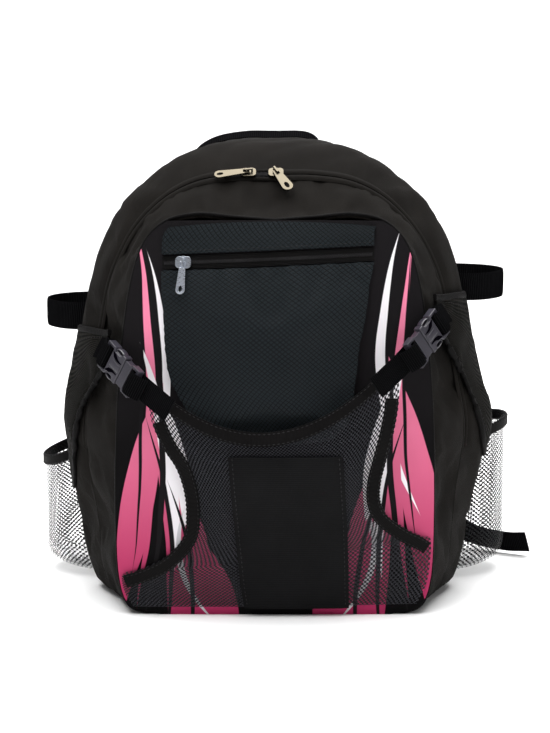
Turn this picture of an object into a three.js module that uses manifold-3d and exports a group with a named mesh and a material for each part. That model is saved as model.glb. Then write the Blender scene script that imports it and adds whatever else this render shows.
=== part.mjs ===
// Bat backpack standing on its base: a hollow arched bag with a bulged front panel, a zipped
// padded pocket, a mesh helmet holder buckled over it, a mesh bat pocket and a webbing bat loop
// on each side, a haul handle and two padded shoulder straps.
// Millimetres. The front faces -Y, +X is to the right of someone who looks at the front, +Z is up.

import * as THREE from 'three';
import { mergeVertices } from 'three/addons/utils/BufferGeometryUtils.js';
import Module from 'manifold-3d';

const wasm = await Module();
wasm.setup();

// Main form
const BODY_WIDTH = 330;
const BODY_HEIGHT = 364;
const BODY_DEPTH = 175;
const REAR_Y = 85;
const FRONT_WIDTH = 246;
const FRONT_HEIGHT = 312;
const FRONT_LEAN = 17;
const FRONT_BULGE = 14;
const WALL = 2.5;
const BACK_PAD = 8;
const SEAM_GAP = 0.3;

// Zippers
const ZIPPER_THICKNESS = 1.2;
const ZIPPER_LIFT = 0.4;
const SLIDER_LENGTH = 12;
const SLIDER_WIDTH = 9;
const SLIDER_HEIGHT = 2.4;
const BRIDGE_WIDTH = 1.8;
const BRIDGE_BAR = 1.2;
const BRIDGE_INSIDE_LENGTH = 4.4;
const BRIDGE_INSIDE_HEIGHT = 2.2;
const TAB_THICKNESS = 1.3;
const TAB_CLEARANCE = 0.5;
const TAB_ARM = 1.3;

// Front pocket
const POCKET_LOFT = 6;
const POCKET_WALL = 2.5;
const POCKET_ZIPPER_WIDTH = 9.8;

// Mesh helmet holder
const MESH_THICKNESS = 1.2;
const MESH_BELLY = 3.5;
const MESH_TOP_LIFT = 13;
const BINDING_WIDTH = 11;
const BINDING_THICKNESS = 1.4;
const STRIP_THICKNESS = 1.4;
const LAYER_GAP = 0.8;

// Buckles and their webbing
const BUCKLE_LENGTH = 42;
const BUCKLE_THICKNESS = 7;
const BUCKLE_LIFT = 8.5;
const WEBBING_WIDTH = 19;
const WEBBING_THICKNESS = 1.4;
const BUCKLE_RAIL = 2.2;
const BUCKLE_BAR = 3;
const BUCKLE_SLOT = 5.6;
const BUCKLE_CLEARANCE = 0.4;

// Bat pockets and loops
const BAT_CENTRE_Y = 46;
const BAT_POCKET_DEPTH = 74;
const BAT_POCKET_REACH = 194;
const BAT_POCKET_FOOT = 7;
const BAT_POCKET_WALL = 1.6;
const BAT_BINDING_HEIGHT = 9;
const BAT_LOOP_HEIGHT = 22;
const BAT_LOOP_REACH = 190;
const BAT_LOOP_THICKNESS = 2.2;

// Shoulder straps and haul handle
const STRAP_WIDTH = 58;
const STRAP_THICKNESS = 11;
const STRAP_STANDOFF = 34;
const ADJUSTER_LENGTH = 20;
const ADJUSTER_THICKNESS = 4;
const STRAP_WEBBING_WIDTH = 25;
const STRAP_WEBBING_THICKNESS = 1.6;
const HANDLE_WIDTH = 24;
const HANDLE_THICKNESS = 2.4;
const HANDLE_RISE = 8.5;

// Shared helpers on numbers and tables
const LEFT = -1;
const RIGHT = 1;
const HALF_RING = 24;
const HALF_WIDTH = BODY_WIDTH / 2;
const FRONT_HALF = FRONT_WIDTH / 2;
const BAG_CENTRE = new THREE.Vector3(0, REAR_Y - BODY_DEPTH / 2, BODY_HEIGHT / 2);
const { lerp, smoothstep, degToRad } = THREE.MathUtils;

// Values of a table at one place along its key column, each column read straight between rows.
function readTable(rows, key, at) {
  const last = rows.length - 1;
  let index = rows.findIndex((row) => row[key] > at);
  if (index < 0) index = last;
  index = Math.max(index, 1);
  const before = rows[index - 1];
  const after = rows[index];
  const share = THREE.MathUtils.clamp((at - before[key]) / (after[key] - before[key]), 0, 1);
  const values = {};
  for (const column of Object.keys(before)) {
    values[column] = lerp(before[column], after[column], share);
  }
  return values;
}

// Numbers evenly spread from first to last, both included.
function spread(first, last, count) {
  return Array.from({ length: count }, (_, i) => lerp(first, last, i / (count - 1)));
}

// Half outlines from the middle of the base round to the crown, as shares of half width and height.
const BODY_OUTLINE = [
  { reach: 0.0, rise: 0.0 },
  { reach: 0.45, rise: 0.0 },
  { reach: 0.77, rise: 0.002 },
  { reach: 0.87, rise: 0.022 },
  { reach: 0.912, rise: 0.075 },
  { reach: 0.945, rise: 0.17 },
  { reach: 0.99, rise: 0.33 },
  { reach: 1.0, rise: 0.42 },
  { reach: 0.955, rise: 0.53 },
  { reach: 0.905, rise: 0.645 },
  { reach: 0.855, rise: 0.75 },
  { reach: 0.775, rise: 0.833 },
  { reach: 0.69, rise: 0.889 },
  { reach: 0.56, rise: 0.945 },
  { reach: 0.4, rise: 0.983 },
  { reach: 0.2, rise: 0.999 },
  { reach: 0.0, rise: 1.0 },
];
const FRONT_OUTLINE = [
  { reach: 0.0, rise: 0.0 },
  { reach: 0.5, rise: 0.0 },
  { reach: 0.8, rise: 0.004 },
  { reach: 0.94, rise: 0.03 },
  { reach: 0.985, rise: 0.09 },
  { reach: 1.0, rise: 0.25 },
  { reach: 0.985, rise: 0.5 },
  { reach: 0.95, rise: 0.68 },
  { reach: 0.895, rise: 0.83 },
  { reach: 0.82, rise: 0.925 },
  { reach: 0.7, rise: 0.978 },
  { reach: 0.5, rise: 1.0 },
  { reach: 0.25, rise: 0.993 },
  { reach: 0.0, rise: 0.985 },
];

// Sections from the back to the front edge: depth is a share of BODY_DEPTH, wide and tall are
// shares of the body outline, and squared blends that outline into the front panel's.
const STATIONS = [
  { depth: 0.0, wide: 0.775, tall: 0.955, squared: 0.0 },
  { depth: 0.07, wide: 0.8, tall: 0.98, squared: 0.0 },
  { depth: 0.34, wide: 0.8, tall: 1.0, squared: 0.0 },
  { depth: 0.46, wide: 0.92, tall: 1.0, squared: 0.0 },
  { depth: 0.56, wide: 1.0, tall: 0.996, squared: 0.0 },
  { depth: 0.64, wide: 0.985, tall: 0.98, squared: 0.03 },
  { depth: 0.755, wide: 0.93, tall: 0.94, squared: 0.1 },
  { depth: 0.88, wide: 0.9, tall: 0.91, squared: 0.5 },
  { depth: 1.0, wide: 0.88, tall: 0.88, squared: 1.0 },
];
const ZIPPER_DEPTH = 0.755;
const ZIPPER_HALF = 0.026;

// Depth shares of the rings of points behind and ahead of the zipper.
const REAR_RINGS = [
  0, 0.07, 0.2, 0.34, 0.4, 0.46, 0.51, 0.56, 0.6, 0.64, 0.69, ZIPPER_DEPTH - ZIPPER_HALF,
];
const FRONT_RINGS = [ZIPPER_DEPTH + ZIPPER_HALF, 0.83, 0.88, 0.94, 1];

// Folds of the soft body: side is -1 or 1, rise and depth say where, spread how far it reaches as
// a share of height or depth, and push how deep it goes as a share of the half width.
const FOLDS = [
  { side: LEFT, rise: 0.8, depth: 0.62, spread: 0.07, push: 0.022 },
  { side: LEFT, rise: 0.2, depth: 0.8, spread: 0.1, push: 0.02 },
  { side: RIGHT, rise: 0.26, depth: 0.82, spread: 0.1, push: 0.025 },
  { side: RIGHT, rise: 0.38, depth: 0.58, spread: 0.09, push: -0.035 },
  { side: RIGHT, rise: 0.9, depth: 0.66, spread: 0.08, push: 0.03 },
];

function sampleOutline(rows) {
  const points = rows.map(({ reach, rise }) => new THREE.Vector3(reach, rise, 0));
  return new THREE.CatmullRomCurve3(points, false, 'centripetal').getSpacedPoints(HALF_RING);
}
const bodyOutline = sampleOutline(BODY_OUTLINE);
const frontOutline = sampleOutline(FRONT_OUTLINE);

// The front edge leans back towards the top.
function frontEdgeY(z) {
  return REAR_Y - BODY_DEPTH + FRONT_LEAN * (z / FRONT_HEIGHT) ** 2;
}

function foldScale(side, rise, depth) {
  const push = FOLDS.filter((fold) => fold.side === side).reduce((sum, fold) => {
    const along = (rise - fold.rise) / fold.spread;
    const inward = (depth - fold.depth) / fold.spread;
    return sum + fold.push * Math.exp(-(along ** 2 + inward ** 2));
  }, 0);
  return 1 - push;
}

// One side of the body's section at a depth share, from the base's middle to the crown.
function halfSection(side, depth) {
  const station = readTable(STATIONS, 'depth', depth);
  return bodyOutline.map((body, i) => {
    const front = frontOutline[i];
    const wide = lerp(body.x * HALF_WIDTH * station.wide, front.x * FRONT_HALF, station.squared);
    const tall = lerp(body.y * BODY_HEIGHT * station.tall, front.y * FRONT_HEIGHT, station.squared);
    const z = Math.max(tall, 0);
    const y = lerp(REAR_Y, frontEdgeY(z), depth);
    return new THREE.Vector3(side * wide * foldScale(side, body.y, depth), y, z);
  });
}

// The whole section as a ring that starts and ends at the base's middle.
function section(depth) {
  const right = halfSection(RIGHT, depth);
  const left = halfSection(LEFT, depth);
  return [...right, ...left.slice(1, -1).reverse()];
}

// The point where a line of points that rises to the crown passes a height.
function pointAtHeight(line, z) {
  const index = line.findIndex((point) => point.z > z);
  const upper = index < 0 ? line.length - 1 : Math.max(index, 1);
  const low = line[upper - 1];
  const high = line[upper];
  const share = THREE.MathUtils.clamp((z - low.z) / (high.z - low.z), 0, 1);
  return new THREE.Vector3().lerpVectors(low, high, share);
}

// A point on the body's side wall.
function sidePoint(side, depth, z) {
  return pointAtHeight(halfSection(side, depth), z);
}

const depthAt = (y, z) => (REAR_Y - y) / (REAR_Y - frontEdgeY(z));
const frontEdge = halfSection(RIGHT, 1);
const frontHalfWidthAt = (z) => pointAtHeight(frontEdge, z).x;

// The bulged front panel: how far forward its face lies over a point of the front view.
function frontY(x, z) {
  const across = Math.min(Math.abs(x) / frontHalfWidthAt(z), 1);
  const along = THREE.MathUtils.clamp(Math.abs((2 * z) / FRONT_HEIGHT - 1), 0, 1);
  return frontEdgeY(z) - FRONT_BULGE * (1 - across ** 2) * (1 - along ** 4);
}

// Outward unit normals of a grid of points, from its neighbours in both directions.
function gridNormals(grid, wrap) {
  const rows = grid.length;
  const columns = grid[0].length;
  const row = (i) => (wrap ? (i + rows) % rows : THREE.MathUtils.clamp(i, 0, rows - 1));
  const column = (j) => THREE.MathUtils.clamp(j, 0, columns - 1);
  return grid.map((line, i) => line.map((_, j) => {
    const along = new THREE.Vector3().subVectors(grid[row(i + 1)][j], grid[row(i - 1)][j]);
    const across = new THREE.Vector3().subVectors(grid[i][column(j + 1)], grid[i][column(j - 1)]);
    return along.cross(across).normalize();
  }));
}

function facesInward(grid, normals) {
  let sum = 0;
  grid.forEach((line, i) => line.forEach((point, j) => {
    sum += normals[i][j].dot(new THREE.Vector3().subVectors(point, BAG_CENTRE));
  }));
  return sum < 0;
}

// A closed solid between two skins, low and high above a grid of points along its normals that
// point away from the bag. wrap joins the grid's last row to its first.
function shell(points, low, high, wrap = false) {
  const inward = facesInward(points, gridNormals(points, wrap));
  const grid = inward ? [...points].reverse() : points;
  const normals = gridNormals(grid, wrap);
  const rows = grid.length;
  const columns = grid[0].length;
  const positions = [];
  for (const height of [high, low]) {
    grid.forEach((line, i) => line.forEach((point, j) => {
      positions.push(...point.clone().addScaledVector(normals[i][j], height));
    }));
  }
  const outer = (i, j) => (i % rows) * columns + j;
  const inner = (i, j) => rows * columns + outer(i, j);
  const index = [];
  const quad = (a, b, c, d) => index.push(a, b, c, a, c, d);
  const spans = wrap ? rows : rows - 1;
  const end = columns - 1;
  for (let i = 0; i < spans; i += 1) {
    for (let j = 0; j < end; j += 1) {
      quad(outer(i, j), outer(i + 1, j), outer(i + 1, j + 1), outer(i, j + 1));
      quad(inner(i, j), inner(i, j + 1), inner(i + 1, j + 1), inner(i + 1, j));
    }
    quad(outer(i, 0), inner(i, 0), inner(i + 1, 0), outer(i + 1, 0));
    quad(outer(i, end), outer(i + 1, end), inner(i + 1, end), inner(i, end));
  }
  if (!wrap) {
    for (let j = 0; j < end; j += 1) {
      quad(outer(0, j), outer(0, j + 1), inner(0, j + 1), inner(0, j));
      quad(outer(spans, j), inner(spans, j), inner(spans, j + 1), outer(spans, j + 1));
    }
  }
  return indexedGeometry(positions, index);
}

function indexedGeometry(positions, index) {
  const geometry = new THREE.BufferGeometry();
  geometry.setAttribute('position', new THREE.Float32BufferAttribute(positions, 3));
  geometry.setIndex(index);
  geometry.computeVertexNormals();
  return geometry;
}

// A flat strap along a path: across is its width direction, one vector or one for each point.
function ribbon(path, across, width, thickness) {
  const grid = path.map((point, i) => {
    const direction = (Array.isArray(across) ? across[i] : across).clone().normalize();
    return [-0.5, 0.5].map((share) => point.clone().addScaledVector(direction, share * width));
  });
  return shell(grid, -thickness / 2, thickness / 2);
}

function smoothPath(points, count) {
  return new THREE.CatmullRomCurve3(points, false, 'centripetal').getSpacedPoints(count);
}

function toManifold(geometry) {
  const bare = geometry.clone();
  bare.deleteAttribute('normal');
  bare.deleteAttribute('uv');
  const merged = mergeVertices(bare, 1e-4);
  return new wasm.Manifold(new wasm.Mesh({
    numProp: 3,
    vertProperties: new Float32Array(merged.attributes.position.array),
    triVerts: new Uint32Array(merged.index.array),
  }));
}

function fromManifold(solid) {
  const { vertProperties, triVerts } = solid.getMesh();
  return indexedGeometry(vertProperties, Array.from(triVerts));
}

// A flat outline extruded upwards from a height.
function plate(shape, thickness, bottom) {
  const options = { depth: thickness, bevelEnabled: false, curveSegments: 4 };
  return new THREE.ExtrudeGeometry(shape, options).translate(0, 0, bottom);
}

function polygon(points) {
  return new THREE.Shape(points.map(([x, y]) => new THREE.Vector2(x, y)));
}

function rectangle(x0, y0, x1, y1) {
  return polygon([[x0, y0], [x1, y0], [x1, y1], [x0, y1]]);
}

function roundedRectangle(x0, y0, x1, y1, radius) {
  const shape = new THREE.Shape();
  shape.absarc(x1 - radius, y1 - radius, radius, 0, Math.PI / 2);
  shape.absarc(x0 + radius, y1 - radius, radius, Math.PI / 2, Math.PI);
  shape.absarc(x0 + radius, y0 + radius, radius, Math.PI, 1.5 * Math.PI);
  shape.absarc(x1 - radius, y0 + radius, radius, 1.5 * Math.PI, 2 * Math.PI);
  return shape;
}

// A group whose x, y and z axes lie along the given directions, x exactly and z as near as it can.
function placedFrame(origin, along, outward) {
  const x = along.clone().normalize();
  const y = outward.clone().cross(x).normalize();
  const z = x.clone().cross(y);
  const frame = new THREE.Group();
  frame.position.copy(origin);
  frame.quaternion.setFromRotationMatrix(new THREE.Matrix4().makeBasis(x, y, z));
  return frame;
}

// Materials
const fabric = new THREE.MeshStandardMaterial({ color: 0x262423, roughness: 0.85, metalness: 0 });
const printed = new THREE.MeshStandardMaterial({ color: 0xc8668c, roughness: 0.75, metalness: 0 });
const textured = new THREE.MeshStandardMaterial({ color: 0x232a31, roughness: 0.55, metalness: 0 });
const mesh = new THREE.MeshStandardMaterial({ color: 0x1b1b1d, roughness: 0.8, metalness: 0 });
const webbing = new THREE.MeshStandardMaterial({ color: 0x151515, roughness: 0.8, metalness: 0 });
const plastic = new THREE.MeshStandardMaterial({ color: 0x2c2c30, roughness: 0.4, metalness: 0 });
const metal = new THREE.MeshStandardMaterial({ color: 0xc9c2b2, roughness: 0.3, metalness: 1 });

const bag = new THREE.Group();

function addPiece(name, geometry, material, parent = bag) {
  const piece = new THREE.Mesh(geometry, material);
  piece.name = name;
  parent.add(piece);
  return piece;
}

const sideName = (side) => (side === LEFT ? 'left' : 'right');

// Back panel: a flat pad over the whole open back of the rear body.
function backPanel() {
  const shape = polygon(section(0).map(({ x, z }) => [x, z]));
  const geometry = plate(shape, BACK_PAD, 0);
  geometry.rotateX(Math.PI / 2);
  return geometry.translate(0, REAR_Y + SEAM_GAP + BACK_PAD, 0);
}
addPiece('back_panel', backPanel(), fabric);

// Gussets: two open rings of cloth that meet at the main zipper's depth.
function gusset(depths) {
  const sections = depths.map(section);
  const grid = sections[0].map((_, i) => sections.map((ring) => ring[i]));
  return shell(grid, -WALL, 0, true);
}
const seamShare = (2 * SEAM_GAP) / BODY_DEPTH;
addPiece('rear_body', gusset([...REAR_RINGS, ZIPPER_DEPTH - seamShare / 2]), fabric);
addPiece('front_body', gusset([ZIPPER_DEPTH + seamShare / 2, ...FRONT_RINGS]), fabric);

// Front panel: closes the front of the front body just ahead of its edge.
const PANEL_ROWS = 15;
const PANEL_COLUMNS = 13;
function frontPanel() {
  const crown = frontEdge[frontEdge.length - 1].z;
  const grid = spread(0, crown, PANEL_ROWS).map((z) => {
    const half = frontHalfWidthAt(z);
    return spread(-half, half, PANEL_COLUMNS).map((x) => new THREE.Vector3(x, frontY(x, z), z));
  });
  return shell(grid, SEAM_GAP, SEAM_GAP + WALL);
}
const PANEL_FACE = SEAM_GAP + WALL;
addPiece('front_panel', frontPanel(), printed);

// A point over the front panel's face: x and z as shares of the panel's half width and height.
function frontPoint(across, up, lift) {
  const x = across * FRONT_HALF;
  const z = up * FRONT_HEIGHT;
  return new THREE.Vector3(x, frontY(x, z) - PANEL_FACE - lift(x, z), z);
}

// A sheet over the front panel from a table of rows, each running from its left to its right
// end and sagging in between. All columns are shares of the panel's half width and height.
function frontSheet(rows, columns, lift, thickness) {
  const grid = rows.map((row) => spread(0, 1, columns).map((share) => {
    const across = lerp(row.leftX, row.rightX, share);
    const up = lerp(row.leftZ, row.rightZ, share) - row.sag * (1 - (2 * share - 1) ** 2);
    return frontPoint(across, up, lift);
  }));
  return shell(grid, 0, thickness);
}

// Main zipper: a band of tape and teeth over the seam of the two gussets, round the arch.
const ZIPPER_END_RISE = 0.34;
function mainZipper() {
  const depths = spread(ZIPPER_DEPTH - ZIPPER_HALF, ZIPPER_DEPTH + ZIPPER_HALF, 3);
  const sections = depths.map(section);
  const lowest = ZIPPER_END_RISE * BODY_HEIGHT;
  const grid = sections[1].map((_, i) => sections.map((ring) => ring[i]));
  return shell(grid.filter((line) => line[1].z > lowest), ZIPPER_LIFT, ZIPPER_LIFT + ZIPPER_THICKNESS);
}
addPiece('main_zipper', mainZipper(), webbing);

// Zipper slider: a rounded block with an arched bridge that its pull tab hangs on. turn sets the
// bridge at an angle to the zipper, as the tab lies.
const PIVOT_HEIGHT = SLIDER_HEIGHT + BRIDGE_INSIDE_HEIGHT / 2;
function slider(turn) {
  const halfLength = SLIDER_LENGTH / 2;
  const halfWidth = SLIDER_WIDTH / 2;
  const outline = roundedRectangle(-halfLength, -halfWidth, halfLength, halfWidth, SLIDER_WIDTH / 3);
  const block = plate(outline, SLIDER_HEIGHT, 0);
  const insideHalf = BRIDGE_INSIDE_LENGTH / 2;
  const outsideHalf = insideHalf + BRIDGE_BAR;
  const root = SLIDER_HEIGHT / 2;
  const top = SLIDER_HEIGHT + BRIDGE_INSIDE_HEIGHT;
  const arch = rectangle(-outsideHalf, root, outsideHalf, top + BRIDGE_BAR);
  arch.holes.push(rectangle(-insideHalf, SLIDER_HEIGHT, insideHalf, top));
  const bridge = plate(arch, BRIDGE_WIDTH, -BRIDGE_WIDTH / 2);
  bridge.rotateX(Math.PI / 2);
  bridge.rotateZ(turn);
  return fromManifold(toManifold(block).add(toManifold(bridge)));
}

// Pull tab: a plate with a finger hole and a crossbar that turns under the bridge, its pivot at
// the origin and its length along +X. The shares are of its half width, at of its length.
const TAB_SHAPE = { root: 0.6, shoulder: 0.75, at: 0.3, holeBack: 1.2, holeLong: 0.75, holeWide: 0.4 };
function pullTab(length, width) {
  const half = width / 2;
  const barHalf = TAB_ARM / 2;
  const outer = new THREE.Shape();
  const root = half * TAB_SHAPE.root;
  const shoulder = half * TAB_SHAPE.shoulder;
  const shoulderAt = length * TAB_SHAPE.at;
  outer.moveTo(-barHalf, -root);
  outer.lineTo(shoulderAt, -shoulder);
  outer.lineTo(length - half, -half);
  outer.absarc(length - half, 0, half, -Math.PI / 2, Math.PI / 2);
  outer.lineTo(shoulderAt, shoulder);
  outer.lineTo(-barHalf, root);
  const slotHalf = BRIDGE_WIDTH / 2 + TAB_CLEARANCE;
  const slotEnd = BRIDGE_INSIDE_LENGTH / 2 + BRIDGE_BAR + 2 * TAB_CLEARANCE;
  outer.holes.push(rectangle(barHalf, -slotHalf, slotEnd, slotHalf));
  const finger = new THREE.Path();
  const holeAt = length - half * TAB_SHAPE.holeBack;
  finger.absellipse(holeAt, 0, half * TAB_SHAPE.holeLong, half * TAB_SHAPE.holeWide, 0, 2 * Math.PI, true);
  outer.holes.push(finger);
  return plate(outer, TAB_THICKNESS, -TAB_THICKNESS / 2);
}

// A slider and its tab on a zipper: the slider lies along the zipper, the tab at an angle from it.
function sliderWithTab(names, seat, along, outward, tabTurn, tabLength, tabWidth, tabDip) {
  const frame = placedFrame(seat, along, outward);
  addPiece(names.slider, slider(tabTurn), metal, frame);
  const tab = addPiece(names.tab, pullTab(tabLength, tabWidth), metal, frame);
  tab.position.set(0, 0, PIVOT_HEIGHT);
  tab.rotation.set(0, tabDip, tabTurn, 'ZYX');
  bag.add(frame);
}

// Main sliders: where they stand along the arch, and how their tabs lie.
const MAIN_SLIDERS = [
  { side: 'left', across: -0.125, tabTurn: degToRad(186), tabLength: 27, tabWidth: 7.5 },
  { side: 'right', across: 0.005, tabTurn: degToRad(-62), tabLength: 23, tabWidth: 9 },
];
const zipperLine = section(ZIPPER_DEPTH);
const zipperLineBehind = section(ZIPPER_DEPTH - ZIPPER_HALF);
const zipperLineAhead = section(ZIPPER_DEPTH + ZIPPER_HALF);

// The point over x on the part of a ring that lies round its crown.
const CROWN_SPAN = 6;
function crownPoint(ring, x) {
  const arc = ring.slice(HALF_RING - CROWN_SPAN, HALF_RING + CROWN_SPAN + 1);
  const index = Math.max(arc.findIndex((point) => point.x < x), 1);
  const share = (arc[index - 1].x - x) / (arc[index - 1].x - arc[index].x);
  return new THREE.Vector3().lerpVectors(arc[index - 1], arc[index], share);
}

// How far a tab may dip: over its slider's block, and then over the cloth that lies under it.
const TAB_REST = 1;
function restingDip(seat, outward, direction, length, width) {
  const underside = PIVOT_HEIGHT - TAB_THICKNESS / 2;
  const overBlock = Math.atan2(underside - SLIDER_HEIGHT - SEAM_GAP / 2, SLIDER_LENGTH / 2);
  const across = outward.clone().cross(direction);
  const overCloth = spread(0.3, 1, 8).flatMap((share) => [-0.5, 0, 0.5].map((edge) => {
    const place = seat.clone().addScaledVector(direction, share * length);
    place.addScaledVector(across, edge * width);
    const cloth = crownPoint(section(depthAt(place.y, place.z)), place.x);
    const rise = cloth.sub(seat).dot(outward);
    return Math.atan2(underside - TAB_REST - rise, share * length);
  }));
  return Math.min(overBlock, ...overCloth);
}
for (const row of MAIN_SLIDERS) {
  const x = row.across * HALF_WIDTH;
  const here = crownPoint(zipperLine, x);
  const along = new THREE.Vector3().subVectors(crownPoint(zipperLine, x + SLIDER_LENGTH / 2), here);
  const back = new THREE.Vector3().subVectors(crownPoint(zipperLineBehind, x), here);
  const outward = along.clone().cross(back).normalize();
  const footprint = [zipperLineBehind, zipperLine, zipperLineAhead].flatMap((ring) => (
    [-1, 0, 1].map((end) => crownPoint(ring, x + (end * SLIDER_LENGTH) / 2))
  ));
  const bulge = Math.max(...footprint.map((point) => point.sub(here).dot(outward)));
  const seat = here.clone().addScaledVector(outward, bulge + ZIPPER_LIFT + ZIPPER_THICKNESS + SEAM_GAP);
  const direction = along.clone().normalize().applyAxisAngle(outward, row.tabTurn);
  const dip = restingDip(seat, outward, direction, row.tabLength, row.tabWidth);
  const names = { slider: `zip_slider_${row.side}`, tab: `pull_tab_${row.side}` };
  sliderWithTab(names, seat, along, outward, row.tabTurn, row.tabLength, row.tabWidth, dip);
}

// Front pocket: a padded face under its zipper and a strip of the same cloth above it.
const POCKET_LEFT_X = -0.7;
const POCKET_RIGHT_X = 0.615;
const POCKET_ZIP_LEFT_Z = 0.885;
const POCKET_ZIP_RIGHT_Z = 0.907;
const POCKET_ZIP_MARGIN = 0.02;
const POCKET_ROWS = [
  {
    leftX: POCKET_LEFT_X,
    rightX: POCKET_RIGHT_X,
    leftZ: POCKET_ZIP_LEFT_Z - POCKET_ZIP_MARGIN,
    rightZ: POCKET_ZIP_RIGHT_Z - POCKET_ZIP_MARGIN,
    sag: 0,
  },
  { leftX: -0.697, rightX: 0.59, leftZ: 0.83, rightZ: 0.85, sag: 0 },
  { leftX: -0.685, rightX: 0.555, leftZ: 0.75, rightZ: 0.76, sag: 0 },
  { leftX: -0.68, rightX: 0.52, leftZ: 0.67, rightZ: 0.68, sag: 0 },
  { leftX: -0.65, rightX: 0.5, leftZ: 0.6, rightZ: 0.61, sag: 0 },
  { leftX: -0.56, rightX: 0.48, leftZ: 0.54, rightZ: 0.55, sag: 0 },
  { leftX: -0.46, rightX: 0.44, leftZ: 0.49, rightZ: 0.5, sag: 0.01 },
  { leftX: -0.34, rightX: 0.35, leftZ: 0.455, rightZ: 0.46, sag: 0.015 },
];
const POCKET_FOOT = 0.44;
function pocketLift(x, z) {
  const across = Math.min(Math.abs(x / FRONT_HALF) / 0.7, 1);
  const up = (2 * (z / FRONT_HEIGHT - POCKET_FOOT)) / (POCKET_ZIP_LEFT_Z - POCKET_FOOT) - 1;
  return SEAM_GAP + POCKET_LOFT * (1 - across ** 2) * (1 - Math.min(up ** 4, 1));
}
addPiece('front_pocket', frontSheet(POCKET_ROWS, 11, pocketLift, POCKET_WALL), textured);

const pocketZipperShare = POCKET_ZIPPER_WIDTH / FRONT_HEIGHT / 2;
function pocketBand(lowShare, highShare, leftX, rightX) {
  return [lowShare, highShare].map((rise) => ({
    leftX,
    rightX,
    leftZ: POCKET_ZIP_LEFT_Z + rise,
    rightZ: POCKET_ZIP_RIGHT_Z + rise,
    sag: 0,
  }));
}
const flatLift = () => SEAM_GAP;
const zipperRows = pocketBand(-pocketZipperShare, pocketZipperShare, POCKET_LEFT_X, POCKET_RIGHT_X);
addPiece('pocket_zipper', frontSheet(zipperRows, 9, flatLift, ZIPPER_THICKNESS), webbing);
const POCKET_STRIP_ROWS = [
  ...pocketBand(POCKET_ZIP_MARGIN, 0.045, POCKET_LEFT_X, POCKET_RIGHT_X),
  { leftX: -0.69, rightX: 0.62, leftZ: 0.953, rightZ: 0.965, sag: 0 },
];
addPiece('pocket_top_strip', frontSheet(POCKET_STRIP_ROWS, 9, flatLift, POCKET_WALL), textured);

// Pocket slider near the left end of its zipper, with its tab hanging down.
const POCKET_SLIDER_SHARE = 0.1;
const POCKET_TAB = { turn: degToRad(-93), length: 25, width: 7, dip: degToRad(-6) };
function pocketSlider() {
  const across = lerp(POCKET_LEFT_X, POCKET_RIGHT_X, POCKET_SLIDER_SHARE);
  const up = lerp(POCKET_ZIP_LEFT_Z, POCKET_ZIP_RIGHT_Z, POCKET_SLIDER_SHARE);
  const face = () => 2 * SEAM_GAP + ZIPPER_THICKNESS;
  const seat = frontPoint(across, up, face);
  const along = new THREE.Vector3().subVectors(frontPoint(across + 0.05, up, face), seat);
  const upward = new THREE.Vector3().subVectors(frontPoint(across, up + 0.02, face), seat);
  const outward = along.clone().cross(upward).normalize();
  const names = { slider: 'pocket_slider', tab: 'pull_tab_pocket' };
  const { turn, length, width, dip } = POCKET_TAB;
  sliderWithTab(names, seat, along, outward, turn, length, width, dip);
}
pocketSlider();

// Mesh helmet holder: an hourglass sheet sewn down at the foot and the lower sides, bound along
// its concave sides and its sagging top, which two buckles hold up.
const MESH_ROWS = [
  { leftX: -0.785, rightX: 0.76, leftZ: 0.572, rightZ: 0.627, sag: 0.115 },
  { leftX: -0.762, rightX: 0.765, leftZ: 0.505, rightZ: 0.555, sag: 0.077 },
  { leftX: -0.69, rightX: 0.735, leftZ: 0.44, rightZ: 0.48, sag: 0.045 },
  { leftX: -0.61, rightX: 0.69, leftZ: 0.39, rightZ: 0.41, sag: 0.02 },
  { leftX: -0.565, rightX: 0.66, leftZ: 0.33, rightZ: 0.36, sag: 0.008 },
  { leftX: -0.555, rightX: 0.655, leftZ: 0.27, rightZ: 0.315, sag: 0 },
  { leftX: -0.575, rightX: 0.69, leftZ: 0.215, rightZ: 0.275, sag: 0 },
  { leftX: -0.7, rightX: 0.82, leftZ: 0.155, rightZ: 0.23, sag: 0 },
  { leftX: -0.85, rightX: 0.93, leftZ: 0.122, rightZ: 0.205, sag: 0 },
  { leftX: -0.965, rightX: 0.985, leftZ: 0.105, rightZ: 0.19, sag: 0 },
  { leftX: -0.955, rightX: 0.965, leftZ: 0.06, rightZ: 0.09, sag: 0 },
  { leftX: -0.9, rightX: 0.9, leftZ: 0.022, rightZ: 0.03, sag: 0 },
];
const MESH_SEWN_ROW = 9;
function meshLift(x, z) {
  const across = Math.min(Math.abs(x / FRONT_HALF), 1);
  const up = z / FRONT_HEIGHT;
  const belly = MESH_BELLY * (1 - across ** 4) * smoothstep(up, 0, 0.12);
  return SEAM_GAP + belly + MESH_TOP_LIFT * smoothstep(up, 0.16, 0.44);
}
addPiece('mesh_holder', frontSheet(MESH_ROWS, 13, meshLift, MESH_THICKNESS), mesh);

const overMesh = (layers) => (x, z) => meshLift(x, z) + MESH_THICKNESS + LAYER_GAP * (1 + layers)
  + BINDING_THICKNESS * layers;
const acrossShare = (length) => length / FRONT_HALF;
const upShare = (length) => length / FRONT_HEIGHT;

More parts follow.
